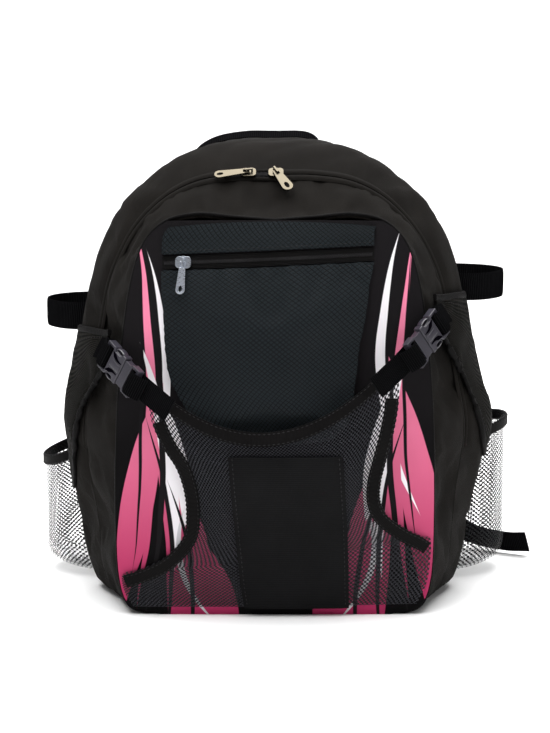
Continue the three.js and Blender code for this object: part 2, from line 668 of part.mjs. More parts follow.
// Binding along the sagging top edge, between the two side bindings.
const TOP_CORNER = 4;
const TOP_DROP = 1.5;
const TOP_SAG_SHARE = 0.93;
function topBinding() {
  const top = MESH_ROWS[0];
  const inset = acrossShare(BINDING_WIDTH + TOP_CORNER);
  const edge = (drop) => ({
    leftX: top.leftX + inset,
    rightX: top.rightX - inset,
    leftZ: top.leftZ - upShare(drop + TOP_DROP),
    rightZ: top.rightZ - upShare(drop + TOP_DROP),
    sag: top.sag * TOP_SAG_SHARE,
  });
  return frontSheet([edge(0), edge(BINDING_WIDTH)], 13, overMesh(0), BINDING_THICKNESS);
}
addPiece('mesh_top_binding', topBinding(), webbing);

// Binding down one side of the mesh, from below the buckle's webbing to the side seam.
const CORNER_POINTS = 2;
const BINDING_EDGES = [0.04, 0.96];
function sideBinding(side) {
  const key = side === LEFT ? 'left' : 'right';
  const edge = MESH_ROWS.slice(0, MESH_SEWN_ROW + 1).map((row) => new THREE.Vector3(
    row[`${key}X`] * FRONT_HALF, 0, row[`${key}Z`] * FRONT_HEIGHT,
  ));
  const line = smoothPath(edge, 16).slice(CORNER_POINTS);
  const grid = line.map((point, i) => {
    const before = line[Math.max(i - 1, 0)];
    const after = line[Math.min(i + 1, line.length - 1)];
    const forward = new THREE.Vector3().subVectors(after, before).normalize();
    const inward = new THREE.Vector3(side * forward.z, 0, -side * forward.x);
    return BINDING_EDGES.map((share) => {
      const place = point.clone().addScaledVector(inward, share * BINDING_WIDTH);
      return frontPoint(place.x / FRONT_HALF, place.z / FRONT_HEIGHT, overMesh(0));
    });
  });
  return shell(grid, 0, BINDING_THICKNESS);
}
for (const side of [LEFT, RIGHT]) {
  addPiece(`mesh_side_binding_${sideName(side)}`, sideBinding(side), webbing);
}

// Centre strip: a plain band over the mesh from its top binding down to the foot.
const STRIP_ROWS = [
  { leftX: -0.29, rightX: 0.42, leftZ: 0.425, rightZ: 0.425, sag: 0 },
  { leftX: -0.275, rightX: 0.435, leftZ: 0.34, rightZ: 0.34, sag: 0 },
  { leftX: -0.255, rightX: 0.45, leftZ: 0.25, rightZ: 0.25, sag: 0 },
  { leftX: -0.235, rightX: 0.46, leftZ: 0.16, rightZ: 0.16, sag: 0 },
  { leftX: -0.215, rightX: 0.465, leftZ: 0.08, rightZ: 0.08, sag: 0 },
  { leftX: -0.195, rightX: 0.47, leftZ: 0.022, rightZ: 0.022, sag: 0 },
];
addPiece('centre_strip', frontSheet(STRIP_ROWS, 9, overMesh(0.2), STRIP_THICKNESS), webbing);

// Side wings: triangular compression panels from the side seam forward to the buckle. low and
// high bound them as shares of BODY_HEIGHT, and WING_RAISE lifts the right one; lift is a stand-off.
const WING_ROWS = [
  { depth: 0.51, low: 0.235, high: 0.585, lift: 1.6 },
  { depth: 0.56, low: 0.235, high: 0.587, lift: 3.2 },
  { depth: 0.6, low: 0.24, high: 0.588, lift: 3.4 },
  { depth: 0.64, low: 0.27, high: 0.59, lift: 3.8 },
  { depth: 0.69, low: 0.34, high: 0.592, lift: 4.2 },
  { depth: 0.755, low: 0.435, high: 0.593, lift: 4.2 },
  { depth: 0.83, low: 0.5, high: 0.596, lift: 3.6 },
  { depth: 0.88, low: 0.53, high: 0.6, lift: 3.6 },
];
const WING_RAISE = { left: 0, right: 0.075 };
const WING_THICKNESS = 2;
function sideWing(side) {
  const raise = WING_RAISE[sideName(side)];
  const seams = WING_ROWS.map((row) => spread(row.low + raise, row.high + raise, 6).map((up) => (
    sidePoint(side, row.depth, up * BODY_HEIGHT)
  )));
  const normals = gridNormals(seams, false);
  const outward = facesInward(seams, normals) ? -1 : 1;
  const grid = seams.map((line, i) => line.map((point, j) => (
    point.clone().addScaledVector(normals[i][j], outward * WING_ROWS[i].lift)
  )));
  return shell(grid, 0, WING_THICKNESS);
}
for (const side of [LEFT, RIGHT]) {
  addPiece(`side_wing_${sideName(side)}`, sideWing(side), fabric);
}

// Side release buckle in its own frame: +X from the wing's webbing to the holder's, the socket
// first and then the plug, whose two prongs show in the socket's side windows.
const WEB_HALF = WEBBING_WIDTH / 2 + BUCKLE_CLEARANCE;
const BUCKLE_HALF = WEB_HALF + BUCKLE_RAIL;
const SOCKET_LENGTH = BUCKLE_LENGTH * 0.58;
const WINDOW_LENGTH = SOCKET_LENGTH * 0.4;
const WINDOW_DEPTH = BUCKLE_RAIL * 1.4;
const WINDOW_SLOPE = 2;
const WINDOW_MARGIN = 1;
function socket() {
  const slotEnd = BUCKLE_BAR + BUCKLE_SLOT;
  const start = slotEnd + WINDOW_MARGIN;
  const end = slotEnd + WINDOW_LENGTH + WINDOW_SLOPE;
  const waist = BUCKLE_HALF - WINDOW_DEPTH;
  const outline = polygon([
    [0, -BUCKLE_HALF], [start, -BUCKLE_HALF], [start + WINDOW_SLOPE, -waist],
    [end - WINDOW_SLOPE, -waist], [end, -BUCKLE_HALF],
    [SOCKET_LENGTH, -BUCKLE_HALF], [SOCKET_LENGTH, BUCKLE_HALF],
    [end, BUCKLE_HALF], [end - WINDOW_SLOPE, waist],
    [start + WINDOW_SLOPE, waist], [start, BUCKLE_HALF], [0, BUCKLE_HALF],
  ]);
  outline.holes.push(rectangle(BUCKLE_BAR, -WEB_HALF, slotEnd, WEB_HALF));
  return plate(outline, BUCKLE_THICKNESS, -BUCKLE_THICKNESS / 2);
}
const PLUG_WAIST = BUCKLE_HALF * 0.86;
const PLUG_THICKNESS = BUCKLE_THICKNESS * 0.8;
function plug() {
  const start = SOCKET_LENGTH + BUCKLE_CLEARANCE;
  const slotStart = BUCKLE_LENGTH - BUCKLE_BAR - BUCKLE_SLOT;
  const flare = slotStart - WINDOW_SLOPE;
  const outline = polygon([
    [start, -PLUG_WAIST], [flare, -PLUG_WAIST], [slotStart, -BUCKLE_HALF], [BUCKLE_LENGTH, -BUCKLE_HALF],
    [BUCKLE_LENGTH, BUCKLE_HALF], [slotStart, BUCKLE_HALF], [flare, PLUG_WAIST], [start, PLUG_WAIST],
  ]);
  outline.holes.push(rectangle(slotStart, -WEB_HALF, BUCKLE_LENGTH - BUCKLE_BAR, WEB_HALF));
  const thickness = PLUG_THICKNESS;
  return plate(outline, thickness, -thickness / 2);
}

// Where each buckle lies: its outer end over the body's corner, its inner end over the holder's.
const BUCKLE_SEATS = [
  { side: LEFT, depth: 0.945, rise: 0.567, innerX: -0.83, innerZ: 0.585 },
  { side: RIGHT, depth: 0.945, rise: 0.636, innerX: 0.8, innerZ: 0.643 },
];

// Directions away from the body at its front corner and over its side wall, for the right side.
const CORNER_OUTWARD = new THREE.Vector3(0.72, -0.7, 0);
const WALL_OUTWARD = new THREE.Vector3(0.85, -0.5, 0);
const FACE_OUTWARD = new THREE.Vector3(0.5, -0.85, 0);
const OUTER_END_LIFT = BUCKLE_LIFT + 4;
const INNER_END_LIFT = BUCKLE_LIFT + MESH_TOP_LIFT * 1.15;
const mirrored = (direction, side) => direction.clone().multiply(new THREE.Vector3(side, 1, 1));
function buckleFrame({ side, depth, rise, innerX, innerZ }) {
  const wall = sidePoint(side, depth, rise * BODY_HEIGHT);
  const outer = wall.addScaledVector(mirrored(CORNER_OUTWARD, side), OUTER_END_LIFT);
  const inner = frontPoint(innerX, innerZ, () => INNER_END_LIFT);
  const along = new THREE.Vector3().subVectors(inner, outer).normalize();
  return placedFrame(outer, along, mirrored(FACE_OUTWARD, side));
}

// Webbing that comes from a surface, passes up through a buckle's slot and lies back on itself.
// from is the far end on that surface; direction 1 or -1 leads from it to the slot. Each turn row
// runs from the slot or the bar, its along in mm, at the layer below (-1) or above (1) plus rise.
const WEBBING_TURNS = [
  { anchor: 'bar', along: -5, layer: -1, rise: -0.4 },
  { anchor: 'bar', along: 0, layer: -1, rise: 0 },
  { anchor: 'slot', along: -0.9, layer: -1, rise: 0 },
  { anchor: 'slot', along: 0, layer: -1, rise: 1.2 },
  { anchor: 'slot', along: 0, layer: 1, rise: -1.2 },
  { anchor: 'slot', along: -0.9, layer: 1, rise: 0 },
  { anchor: 'bar', along: -1, layer: 1, rise: 0 },
  { anchor: 'bar', along: -5, layer: 1, rise: -2.5 },
  { anchor: 'bar', along: -9, layer: -1, rise: 2.4 },
];
function buckleWebbing(frame, from, barX, direction) {
  frame.updateMatrixWorld();
  const half = BUCKLE_THICKNESS / 2 + BUCKLE_CLEARANCE + WEBBING_THICKNESS / 2;
  const anchors = { bar: barX, slot: barX + direction * (BUCKLE_BAR / 2 + BUCKLE_SLOT / 2) };
  const points = WEBBING_TURNS.map(({ anchor, along, layer, rise }) => (
    frame.localToWorld(new THREE.Vector3(anchors[anchor] + direction * along, 0, layer * half + rise))
  ));
  const across = new THREE.Vector3(0, 1, 0).applyQuaternion(frame.quaternion);
  return ribbon([from, ...points], across, WEBBING_WIDTH, WEBBING_THICKNESS);
}
const ON_WING_LIFT = 3;
const ON_WING_RISE = 0.02;
const ON_MESH_INSET = 0.14;
const ON_MESH_DROP = 0.03;
const ON_MESH_LAYERS = 5.2;
for (const seat of BUCKLE_SEATS) {
  const name = sideName(seat.side);
  const frame = buckleFrame(seat);
  addPiece(`buckle_socket_${name}`, socket(), plastic, frame);
  addPiece(`buckle_plug_${name}`, plug(), plastic, frame);
  bag.add(frame);
  const raise = WING_RAISE[name];
  const wingEnd = WING_ROWS[WING_ROWS.length - 2];
  const wingTop = (wingEnd.low + wingEnd.high) / 2 + raise;
  const onWing = sidePoint(seat.side, wingEnd.depth, (wingTop + ON_WING_RISE) * BODY_HEIGHT);
  const wingLift = wingEnd.lift + WING_THICKNESS + ON_WING_LIFT;
  onWing.addScaledVector(mirrored(WALL_OUTWARD, seat.side), wingLift);
  addPiece(`buckle_webbing_${name}`, buckleWebbing(frame, onWing, BUCKLE_BAR / 2, 1), webbing);
  const corner = MESH_ROWS[0];
  const cornerX = seat.side === LEFT ? corner.leftX : corner.rightX;
  const cornerZ = seat.side === LEFT ? corner.leftZ : corner.rightZ;
  const meshX = cornerX - seat.side * ON_MESH_INSET;
  const onMesh = frontPoint(meshX, cornerZ - ON_MESH_DROP, overMesh(ON_MESH_LAYERS));
  const inner = buckleWebbing(frame, onMesh, BUCKLE_LENGTH - BUCKLE_BAR / 2, -1);
  addPiece(`holder_webbing_${name}`, inner, webbing);
}

// Bat pockets: mesh pouches that stand out from the narrow rear of each side, open at the top.
// rimOuter and rimInner are heights of the slanting rim far from and close to the body, and loop
// is the height of the loop's middle, all as shares of BODY_HEIGHT.
const BAT_SIDES = [
  { side: LEFT, rimOuter: 0.275, rimInner: 0.33, loop: 0.607 },
  { side: RIGHT, rimOuter: 0.368, rimInner: 0.335, loop: 0.673 },
];
const BODY_CLEARANCE = 1.5;
const POUCH_COLUMNS = 15;
const BINDING_START = 0.3;
const roundness = (turn) => Math.sin(turn) ** 0.6;

// A point of a pouch round the bat: turn runs from 0 at its front edge to pi at its rear one,
// reach is the x of its outermost wall, and fullness shrinks it towards the body.
function pouchPoint(side, turn, z, reach, fullness) {
  const y = BAT_CENTRE_Y - (BAT_POCKET_DEPTH / 2) * Math.cos(turn);
  const wall = Math.abs(sidePoint(side, depthAt(y, z), z).x) + BODY_CLEARANCE;
  const out = (reach - wall) * roundness(turn) * fullness;
  return new THREE.Vector3(side * (wall + out), y, z);
}
function rimHeight({ rimInner, rimOuter }, turn) {
  return lerp(rimInner, rimOuter, roundness(turn)) * BODY_HEIGHT;
}
const POUCH_FOOT = [
  { fullness: 0.0, up: 0.0 },
  { fullness: 0.45, up: 0.0 },
  { fullness: 0.82, up: 0.015 },
  { fullness: 0.96, up: 0.07 },
  { fullness: 1.0, up: 0.16 },
];
const POUCH_WALL = [0.4, 0.7, 1].map((up) => ({ fullness: 1, up }));
function batPocket(row) {
  const turns = spread(0, Math.PI, POUCH_COLUMNS);
  const grid = [...POUCH_FOOT, ...POUCH_WALL].map(({ fullness, up }) => turns.map((turn) => {
    const z = lerp(BAT_POCKET_FOOT, rimHeight(row, turn), up);
    return pouchPoint(row.side, turn, z, BAT_POCKET_REACH, fullness);
  }));
  return shell(grid, -BAT_POCKET_WALL, 0);
}
function batPocketBinding(row) {
  const turns = spread(BINDING_START, Math.PI, POUCH_COLUMNS);
  const grid = [-BAT_BINDING_HEIGHT, 0].map((drop) => turns.map((turn) => (
    pouchPoint(row.side, turn, rimHeight(row, turn) + drop, BAT_POCKET_REACH, 1)
  )));
  return shell(grid, SEAM_GAP, SEAM_GAP + BINDING_THICKNESS);
}
function batLoop({ side, loop }) {
  const turns = spread(0, Math.PI, POUCH_COLUMNS);
  const grid = [-0.5, 0.5].map((share) => turns.map((turn) => (
    pouchPoint(side, turn, loop * BODY_HEIGHT + share * BAT_LOOP_HEIGHT, BAT_LOOP_REACH, 1)
  )));
  return shell(grid, -BAT_LOOP_THICKNESS, 0);
}
for (const row of BAT_SIDES) {
  addPiece(`bat_pocket_${sideName(row.side)}`, batPocket(row), mesh);
  addPiece(`bat_pocket_binding_${sideName(row.side)}`, batPocketBinding(row), webbing);
  addPiece(`bat_loop_${sideName(row.side)}`, batLoop(row), webbing);
}

// Haul handle: webbing that arches over the crown from one end on the back pad's edge to the other.
const BACK_FACE = REAR_Y + SEAM_GAP + BACK_PAD;
const HANDLE_LEFT_X = -0.42;
const HANDLE_RIGHT_X = 0.215;
const CROWN_DEPTHS = [0, 0.07, 0.1];
function crownHeight(x) {
  return Math.max(...CROWN_DEPTHS.map((depth) => crownPoint(section(depth), x).z));
}
function haulHandle() {
  const y = BACK_FACE - HANDLE_WIDTH / 2;
  const path = spread(0, 1, 11).map((share) => {
    const x = lerp(HANDLE_LEFT_X, HANDLE_RIGHT_X, share) * HALF_WIDTH;
    const crown = crownHeight(x) + SEAM_GAP + HANDLE_THICKNESS / 2;
    return new THREE.Vector3(x, y, crown + HANDLE_RISE * (1 - (2 * share - 1) ** 4));
  });
  return ribbon(path, new THREE.Vector3(0, 1, 0), HANDLE_WIDTH, HANDLE_THICKNESS);
}
addPiece('haul_handle', haulHandle(), webbing);

// Shoulder straps: padded bands from the top of the back pad down to an adjuster, then webbing to
// the foot of the pad. across and up are shares of half width and height, out of STRAP_STANDOFF.
const STRAP_PATH = [
  { across: 0.19, up: 0.935, out: 0.0 },
  { across: 0.2, up: 0.905, out: 0.02 },
  { across: 0.24, up: 0.85, out: 0.55 },
  { across: 0.29, up: 0.76, out: 0.95 },
  { across: 0.35, up: 0.64, out: 1.0 },
  { across: 0.4, up: 0.53, out: 0.8 },
  { across: 0.44, up: 0.44, out: 0.5 },
];
function backPoint(side, across, up, out) {
  return new THREE.Vector3(side * across * HALF_WIDTH, BACK_FACE + out, up * BODY_HEIGHT);
}
const STRAP_SEAT = STRAP_THICKNESS / 2 + SEAM_GAP;
function strapLine(side) {
  return smoothPath(STRAP_PATH.map(({ across, up, out }) => (
    backPoint(side, across, up, STRAP_SEAT + out * STRAP_STANDOFF)
  )), 12);
}
function shoulderStrap(side) {
  const line = strapLine(side);
  const across = line.map((_, i) => {
    const before = line[Math.max(i - 1, 0)];
    const after = line[Math.min(i + 1, line.length - 1)];
    return new THREE.Vector3().subVectors(after, before).cross(new THREE.Vector3(0, 1, 0));
  });
  return ribbon(line, across, STRAP_WIDTH, STRAP_THICKNESS);
}

// Adjuster: a flat frame of two slots below the padded band's end, the second one narrower.
const SLOT_NARROWING = 0.4;
function adjuster() {
  const half = STRAP_WEBBING_WIDTH / 2 + BUCKLE_CLEARANCE + BUCKLE_RAIL;
  const slot = (ADJUSTER_LENGTH - 3 * BUCKLE_BAR) / 2;
  const outline = roundedRectangle(0, -half, ADJUSTER_LENGTH, half, BUCKLE_RAIL * 0.7);
  for (const order of [0, 1]) {
    const start = BUCKLE_BAR + order * (BUCKLE_BAR + slot);
    const slotHalf = half - BUCKLE_RAIL - order * SLOT_NARROWING;
    outline.holes.push(rectangle(start, -slotHalf, start + slot, slotHalf));
  }
  return plate(outline, ADJUSTER_THICKNESS, -ADJUSTER_THICKNESS / 2);
}
const STRAP_FOOT = { across: 0.66, up: 0.06 };
const ADJUSTER_SEAT = 0.6;
const TAIL_CLEARANCE = 0.6;

// Free ends of the webbing behind the adjusters: the left one hangs down, the right one runs to
// the ground and out past the bat pocket. tilt turns its width from level towards upright.
const TAIL_ROWS = {
  left: [
    { across: 0.6, up: 0.3, out: 0.5, tilt: 0 },
    { across: 0.62, up: 0.19, out: 0.42, tilt: 0 },
    { across: 0.63, up: 0.095, out: 0.4, tilt: 0 },
  ],
  right: [
    { across: 0.61, up: 0.29, out: 0.6, tilt: 0 },
    { across: 0.71, up: 0.17, out: 0.62, tilt: 0.1 },
    { across: 0.88, up: 0.08, out: 0.45, tilt: 0.2 },
    { across: 1.06, up: 0.04, out: 0.1, tilt: 0.3 },
    { across: 1.22, up: 0.032, out: -0.28, tilt: 0.3 },
    { across: 1.325, up: 0.037, out: -0.55, tilt: 0.25 },
  ],
};
const TAIL_STEPS = 14;
const TAIL_WIDTH = STRAP_WEBBING_WIDTH * 0.8;

// The lower half of a shoulder strap: its adjuster, the webbing to its foot and the loose tail.
function strapEnd(side) {
  const name = sideName(side);
  const line = strapLine(side);
  const end = line[line.length - 1];
  const along = new THREE.Vector3().subVectors(end, line[line.length - 2]).normalize();
  const seat = end.clone().addScaledVector(along, ADJUSTER_SEAT);
  const frame = placedFrame(seat, along, new THREE.Vector3(0, 1, 0));
  addPiece(`strap_adjuster_${name}`, adjuster(), plastic, frame);
  bag.add(frame);
  frame.updateMatrixWorld();
  const across = new THREE.Vector3(0, 1, 0).applyQuaternion(frame.quaternion);
  const layer = ADJUSTER_THICKNESS / 2 + STRAP_WEBBING_THICKNESS / 2 + SEAM_GAP;
  const inside = (reach) => frame.localToWorld(new THREE.Vector3(reach, 0, -layer));
  const outside = (reach) => frame.localToWorld(new THREE.Vector3(reach, 0, layer + TAIL_CLEARANCE));

  const footOut = SEAM_GAP + STRAP_WEBBING_THICKNESS / 2;
  const foot = backPoint(side, STRAP_FOOT.across, STRAP_FOOT.up, footOut);
  const leave = inside(ADJUSTER_LENGTH * 1.2);
  const footLine = [inside(BUCKLE_BAR), leave, leave.clone().lerp(foot, 0.5), foot];
  const foldedFoot = ribbon(footLine, across, STRAP_WEBBING_WIDTH, STRAP_WEBBING_THICKNESS);
  addPiece(`strap_webbing_${name}`, foldedFoot, webbing);

  const rows = TAIL_ROWS[name];
  const hanging = rows.map((row) => backPoint(side, row.across, row.up, row.out * STRAP_STANDOFF));
  const path = smoothPath([outside(BUCKLE_BAR / 2), outside(ADJUSTER_LENGTH), ...hanging], TAIL_STEPS);
  const places = rows.map((row, i) => ({ place: (i + 2) / (rows.length + 1), tilt: row.tilt }));
  const turns = path.map((_, i) => {
    const { tilt } = readTable([{ place: 0, tilt: 0 }, ...places], 'place', i / TAIL_STEPS);
    const before = path[Math.max(i - 1, 0)];
    const after = path[Math.min(i + 1, TAIL_STEPS)];
    const forward = new THREE.Vector3().subVectors(after, before).normalize();
    const level = new THREE.Vector3(0, 1, 0).cross(forward).normalize();
    return level.lerp(forward.clone().cross(level), tilt).normalize();
  });
  addPiece(`strap_tail_${name}`, ribbon(path, turns, TAIL_WIDTH, STRAP_WEBBING_THICKNESS), webbing);
}
for (const side of [LEFT, RIGHT]) {
  addPiece(`shoulder_strap_${sideName(side)}`, shoulderStrap(side), fabric);
  strapEnd(side);
}

export default bag;
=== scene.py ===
"""Sports backpack: the cloth, nets, zippers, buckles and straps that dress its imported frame.
Sizes are in metres, and z is up."""

import math

import bmesh
import bpy
import numpy as np
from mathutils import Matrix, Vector


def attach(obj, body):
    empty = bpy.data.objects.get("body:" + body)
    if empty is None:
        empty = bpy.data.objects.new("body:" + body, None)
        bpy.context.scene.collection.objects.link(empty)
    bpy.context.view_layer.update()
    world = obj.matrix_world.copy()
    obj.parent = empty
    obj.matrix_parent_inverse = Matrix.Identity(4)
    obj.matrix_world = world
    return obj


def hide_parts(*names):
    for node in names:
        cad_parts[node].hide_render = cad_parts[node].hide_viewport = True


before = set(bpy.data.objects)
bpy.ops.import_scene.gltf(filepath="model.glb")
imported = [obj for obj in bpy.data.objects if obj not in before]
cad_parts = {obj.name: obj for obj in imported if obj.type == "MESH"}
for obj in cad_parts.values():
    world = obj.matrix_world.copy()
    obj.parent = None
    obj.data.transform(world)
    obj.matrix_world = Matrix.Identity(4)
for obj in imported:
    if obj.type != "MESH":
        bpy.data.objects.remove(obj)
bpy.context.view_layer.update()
scene = bpy.context.scene

# Camera, floor and light.
# The bag stands on a pale studio floor that curves up into a backdrop. The camera looks a
# little down on its front from 1.6 m, and large soft lamps stand round it.
CAMERA_DISTANCE = 1.6
CAMERA_ELEVATION = math.radians(10)
TARGET_HEIGHT = 0.181
SENSOR = 36.0
FOCAL_PIXELS = 1963
PHOTO_HEIGHT = 733

camera_data = bpy.data.cameras.new("camera")
camera_data.sensor_fit = "VERTICAL"
camera_data.sensor_height = SENSOR
camera_data.lens = FOCAL_PIXELS * SENSOR / PHOTO_HEIGHT
camera = bpy.data.objects.new("camera", camera_data)
scene.collection.objects.link(camera)
camera.location = (
    0,
    -CAMERA_DISTANCE * math.cos(CAMERA_ELEVATION),
    TARGET_HEIGHT + CAMERA_DISTANCE * math.sin(CAMERA_ELEVATION),
)
target = Vector((0, 0, TARGET_HEIGHT))
camera.rotation_euler = (target - camera.location).to_track_quat("-Z", "Y").to_euler()
scene.camera = camera


class Paint:
    """A socket of a material. Arithmetic on it adds the Math nodes that work the result out."""

    def __init__(self, tree, socket):
        self.tree = tree
        self.socket = socket

    def make(self, kind, inputs, output=0, **settings):
        """Adds a node of any kind: its settings first, then the values or links of its sockets."""
        node = self.tree.nodes.new(kind)
        for key, value in settings.items():
            setattr(node, key, value)
        for key, value in inputs.items():
            if isinstance(value, Paint):
                self.tree.links.new(value.socket, node.inputs[key])
            else:
                node.inputs[key].default_value = value
        return Paint(self.tree, node.outputs[output])

    def math(self, operation, *values):
        return self.make("ShaderNodeMath", dict(enumerate(values)), operation=operation)

    def __add__(self, other):
        return self.math("ADD", self, other)

    def __sub__(self, other):
        return self.math("SUBTRACT", self, other)

    def __rsub__(self, other):
        return self.math("SUBTRACT", other, self)

    def __mul__(self, other):
        return self.math("MULTIPLY", self, other)

    def __truediv__(self, other):
        return self.math("DIVIDE", self, other)

    def __abs__(self):
        return self.math("ABSOLUTE", self)

    __radd__ = __add__
    __rmul__ = __mul__

    def sine(self):
        return self.math("SINE", self)

    def most(self, other):
        return self.math("MAXIMUM", self, other)

    def least(self, other):
        return self.math("MINIMUM", self, other)

    def rise(self, low, high):
        """A smooth step from 0 at low to 1 at high."""
        ends = {"Value": self, "From Min": low, "From Max": high}
        return self.make("ShaderNodeMapRange", ends, interpolation_type="SMOOTHSTEP")

    def part(self, axis):
        """One coordinate of a vector: 0, 1 or 2."""
        return self.make("ShaderNodeSeparateXYZ", {0: self}, axis)

    def noise(self, scale, detail, stretch=(1, 1, 1)):
        """Soft noise from 0 to 1 in a space of points: scale clouds to the metre, with detail
        finer layers in them."""
        spread = self.make("ShaderNodeVectorMath", {0: self, 1: stretch}, operation="MULTIPLY")
        return self.make("ShaderNodeTexNoise", {"Vector": spread, "Scale": scale, "Detail": detail})

    def blend(self, first, second):
        """A colour between two others, with this value as the share of the second."""
        return self.make("ShaderNodeMix", {0: self, 6: first, 7: second}, 2, data_type="RGBA")

    def bump(self, distance):
        """The normal of a surface that has this value as its relief, distance metres deep."""
        return self.make("ShaderNodeBump", {"Height": self, "Distance": distance})


def colour(red, green, blue):
    """A colour of 0 to 255 as the eye sees it, in the linear values that the shader takes."""
    share = np.array([red, green, blue]) / 255
    linear = np.where(share <= 0.04045, share / 12.92, ((share + 0.055) / 1.055) ** 2.4)
    return (*linear.tolist(), 1.0)


def shade(base, share):
    """A colour with its light multiplied by a share."""
    return tuple(light * share for light in base[:3]) + (1.0,)


def new_material(name, base, roughness, **constants):
    """A material with its plain colour and constants set. Returns it, its shader and the two
    kinds of place that a pattern may follow: points of the object and the cloth's own map."""
    material = bpy.data.materials.new(name)
    material.use_nodes = True
    tree = material.node_tree
    shader = tree.nodes["Principled BSDF"]
    shader.inputs["Base Color"].default_value = base
    shader.inputs["Roughness"].default_value = roughness
    for key, value in constants.items():
        shader.inputs[key.replace("_", " ")].default_value = value
    places = tree.nodes.new("ShaderNodeTexCoord")
    return material, shader, Paint(tree, places.outputs["Object"]), Paint(tree, places.outputs["UV"])


def feed(shader, **sockets):
    """Links values that vary over the surface to the shader's sockets."""
    for key, value in sockets.items():
        value.tree.links.new(value.socket, shader.inputs[key.replace("_", " ")])


def raw_mesh(name, vertices, faces, material, uv=None, sharp=50):
    """A linked object from an array of corners and its faces, smooth below the sharp angle."""
    mesh = bpy.data.meshes.new(name)
    mesh.from_pydata(np.asarray(vertices).reshape(-1, 3).tolist(), [], faces)
    if uv is not None:
        mesh.uv_layers.new(name="UVMap").data.foreach_set("uv", np.asarray(uv, np.float32).ravel())
    mesh.shade_smooth()
    mesh.set_sharp_from_angle(angle=math.radians(sharp))
    mesh.materials.append(material)
    made = bpy.data.objects.new(name, mesh)
    scene.collection.objects.link(made)
    return made


FLOOR_HALF = 4.0
FLOOR_FRONT = -3.0
SWEEP_START = 1.6
SWEEP_RADIUS = 1.2
BACKDROP_TOP = 4.0
turn = np.linspace(0, math.pi / 2, 17)[:, None]
sweep = np.hstack([SWEEP_START + SWEEP_RADIUS * np.sin(turn), SWEEP_RADIUS * (1 - np.cos(turn))])
profile = np.vstack([[FLOOR_FRONT, 0.0], sweep, [SWEEP_START + SWEEP_RADIUS, BACKDROP_TOP]])
floor_points = np.array([[(x, y, z) for y, z in profile] for x in (-FLOOR_HALF, FLOOR_HALF)])
near = np.arange(len(profile) - 1)
far = near + len(profile)
floor_faces = np.stack([near, far, far + 1, near + 1], axis=1)
floor_paint, *_ = new_material("studio_floor", colour(248, 248, 248), 0.9)
floor = raw_mesh("studio_floor", floor_points, floor_faces.tolist(), floor_paint)

SKY_STRENGTH = 0.2
scene.view_settings.view_transform = "Standard"
world = bpy.data.worlds.new("studio")
world.use_nodes = True
sky = world.node_tree.nodes["Background"].inputs
sky["Color"].default_value = (1, 1, 1, 1)
sky["Strength"].default_value = SKY_STRENGTH
scene.world = world

# Name, place, width in metres and power in watts.
LAMPS = [
    ("key_lamp", (-0.8, -1.2, 2.2), 0.8, 18),
    ("fill_lamp", (1.7, -1.2, 1.0), 1.0, 4),
    ("back_lamp", (0.3, 1.3, 1.9), 1.2, 16),
    ("top_lamp", (0.0, 0.1, 2.8), 2.6, 168),
]
for name, place, size, power in LAMPS:
    lamp_data = bpy.data.lights.new(name, "AREA")
    lamp_data.shape = "SQUARE"
    lamp_data.size = size
    lamp_data.energy = power
    lamp = bpy.data.objects.new(name, lamp_data)
    lamp.location = place
    lamp.rotation_euler = (target - lamp.location).to_track_quat("-Z", "Y").to_euler()
    scene.collection.objects.link(lamp)

# Rear and front gussets.
# The bag's walls are two rings of coated black polyester, sewn from flat panels and stiffened
# only by their seams, so they buckle softly between the back, the zipper and the front.
BODY_WIDTH = 0.330
BODY_HEIGHT = 0.364
BODY_DEPTH = 0.175
REAR_Y = 0.085
FRONT_HALF = 0.123
FRONT_HEIGHT = 0.312
FRONT_LEAN = 0.017
FRONT_BULGE = 0.014
WALL = 0.0025
SEAM_GAP = 0.0003
BAG_CENTRE = np.array([0, REAR_Y - BODY_DEPTH / 2, BODY_HEIGHT / 2])

# Half outlines from the base's middle to the crown: shares of the half width and of the height.
BODY_OUTLINE = [
    (0.0, 0.0), (0.45, 0.0), (0.77, 0.002), (0.87, 0.022), (0.912, 0.075), (0.945, 0.17),
    (0.99, 0.33), (1.0, 0.42), (0.955, 0.53), (0.905, 0.645), (0.855, 0.75), (0.775, 0.833),
    (0.69, 0.889), (0.56, 0.945), (0.4, 0.983), (0.2, 0.999), (0.0, 1.0),
]
FRONT_OUTLINE = [
    (0.0, 0.0), (0.5, 0.0), (0.8, 0.004), (0.94, 0.03), (0.985, 0.09), (1.0, 0.25), (0.985, 0.5),
    (0.95, 0.68), (0.895, 0.83), (0.82, 0.925), (0.7, 0.978), (0.5, 1.0), (0.25, 0.993), (0.0, 0.985),
]
# Sections from back to front: depth share, width and height shares, blend into the front outline.
STATIONS = [
    (0.0, 0.775, 0.955, 0.0), (0.07, 0.8, 0.98, 0.0), (0.34, 0.8, 1.0, 0.0), (0.46, 0.92, 1.0, 0.0),
    (0.56, 1.0, 0.996, 0.0), (0.64, 0.985, 0.98, 0.03), (0.755, 0.93, 0.94, 0.1),
    (0.88, 0.9, 0.91, 0.5), (1.0, 0.88, 0.88, 1.0),
]
# Soft dents: side, rise, depth, how far each reaches, and how deep it goes as a share of the width.
FOLDS = [
    (-1, 0.8, 0.62, 0.07, 0.022), (-1, 0.2, 0.8, 0.1, 0.02), (1, 0.26, 0.82, 0.1, 0.025),
    (1, 0.38, 0.58, 0.09, -0.035), (1, 0.9, 0.66, 0.08, 0.03),
]
ZIPPER_DEPTH = 0.755
ZIPPER_HALF = 0.026
ZIPPER_SPLIT = 0.002
CROWN_FROM = 0.9 * BODY_HEIGHT
TINY = 1e-12


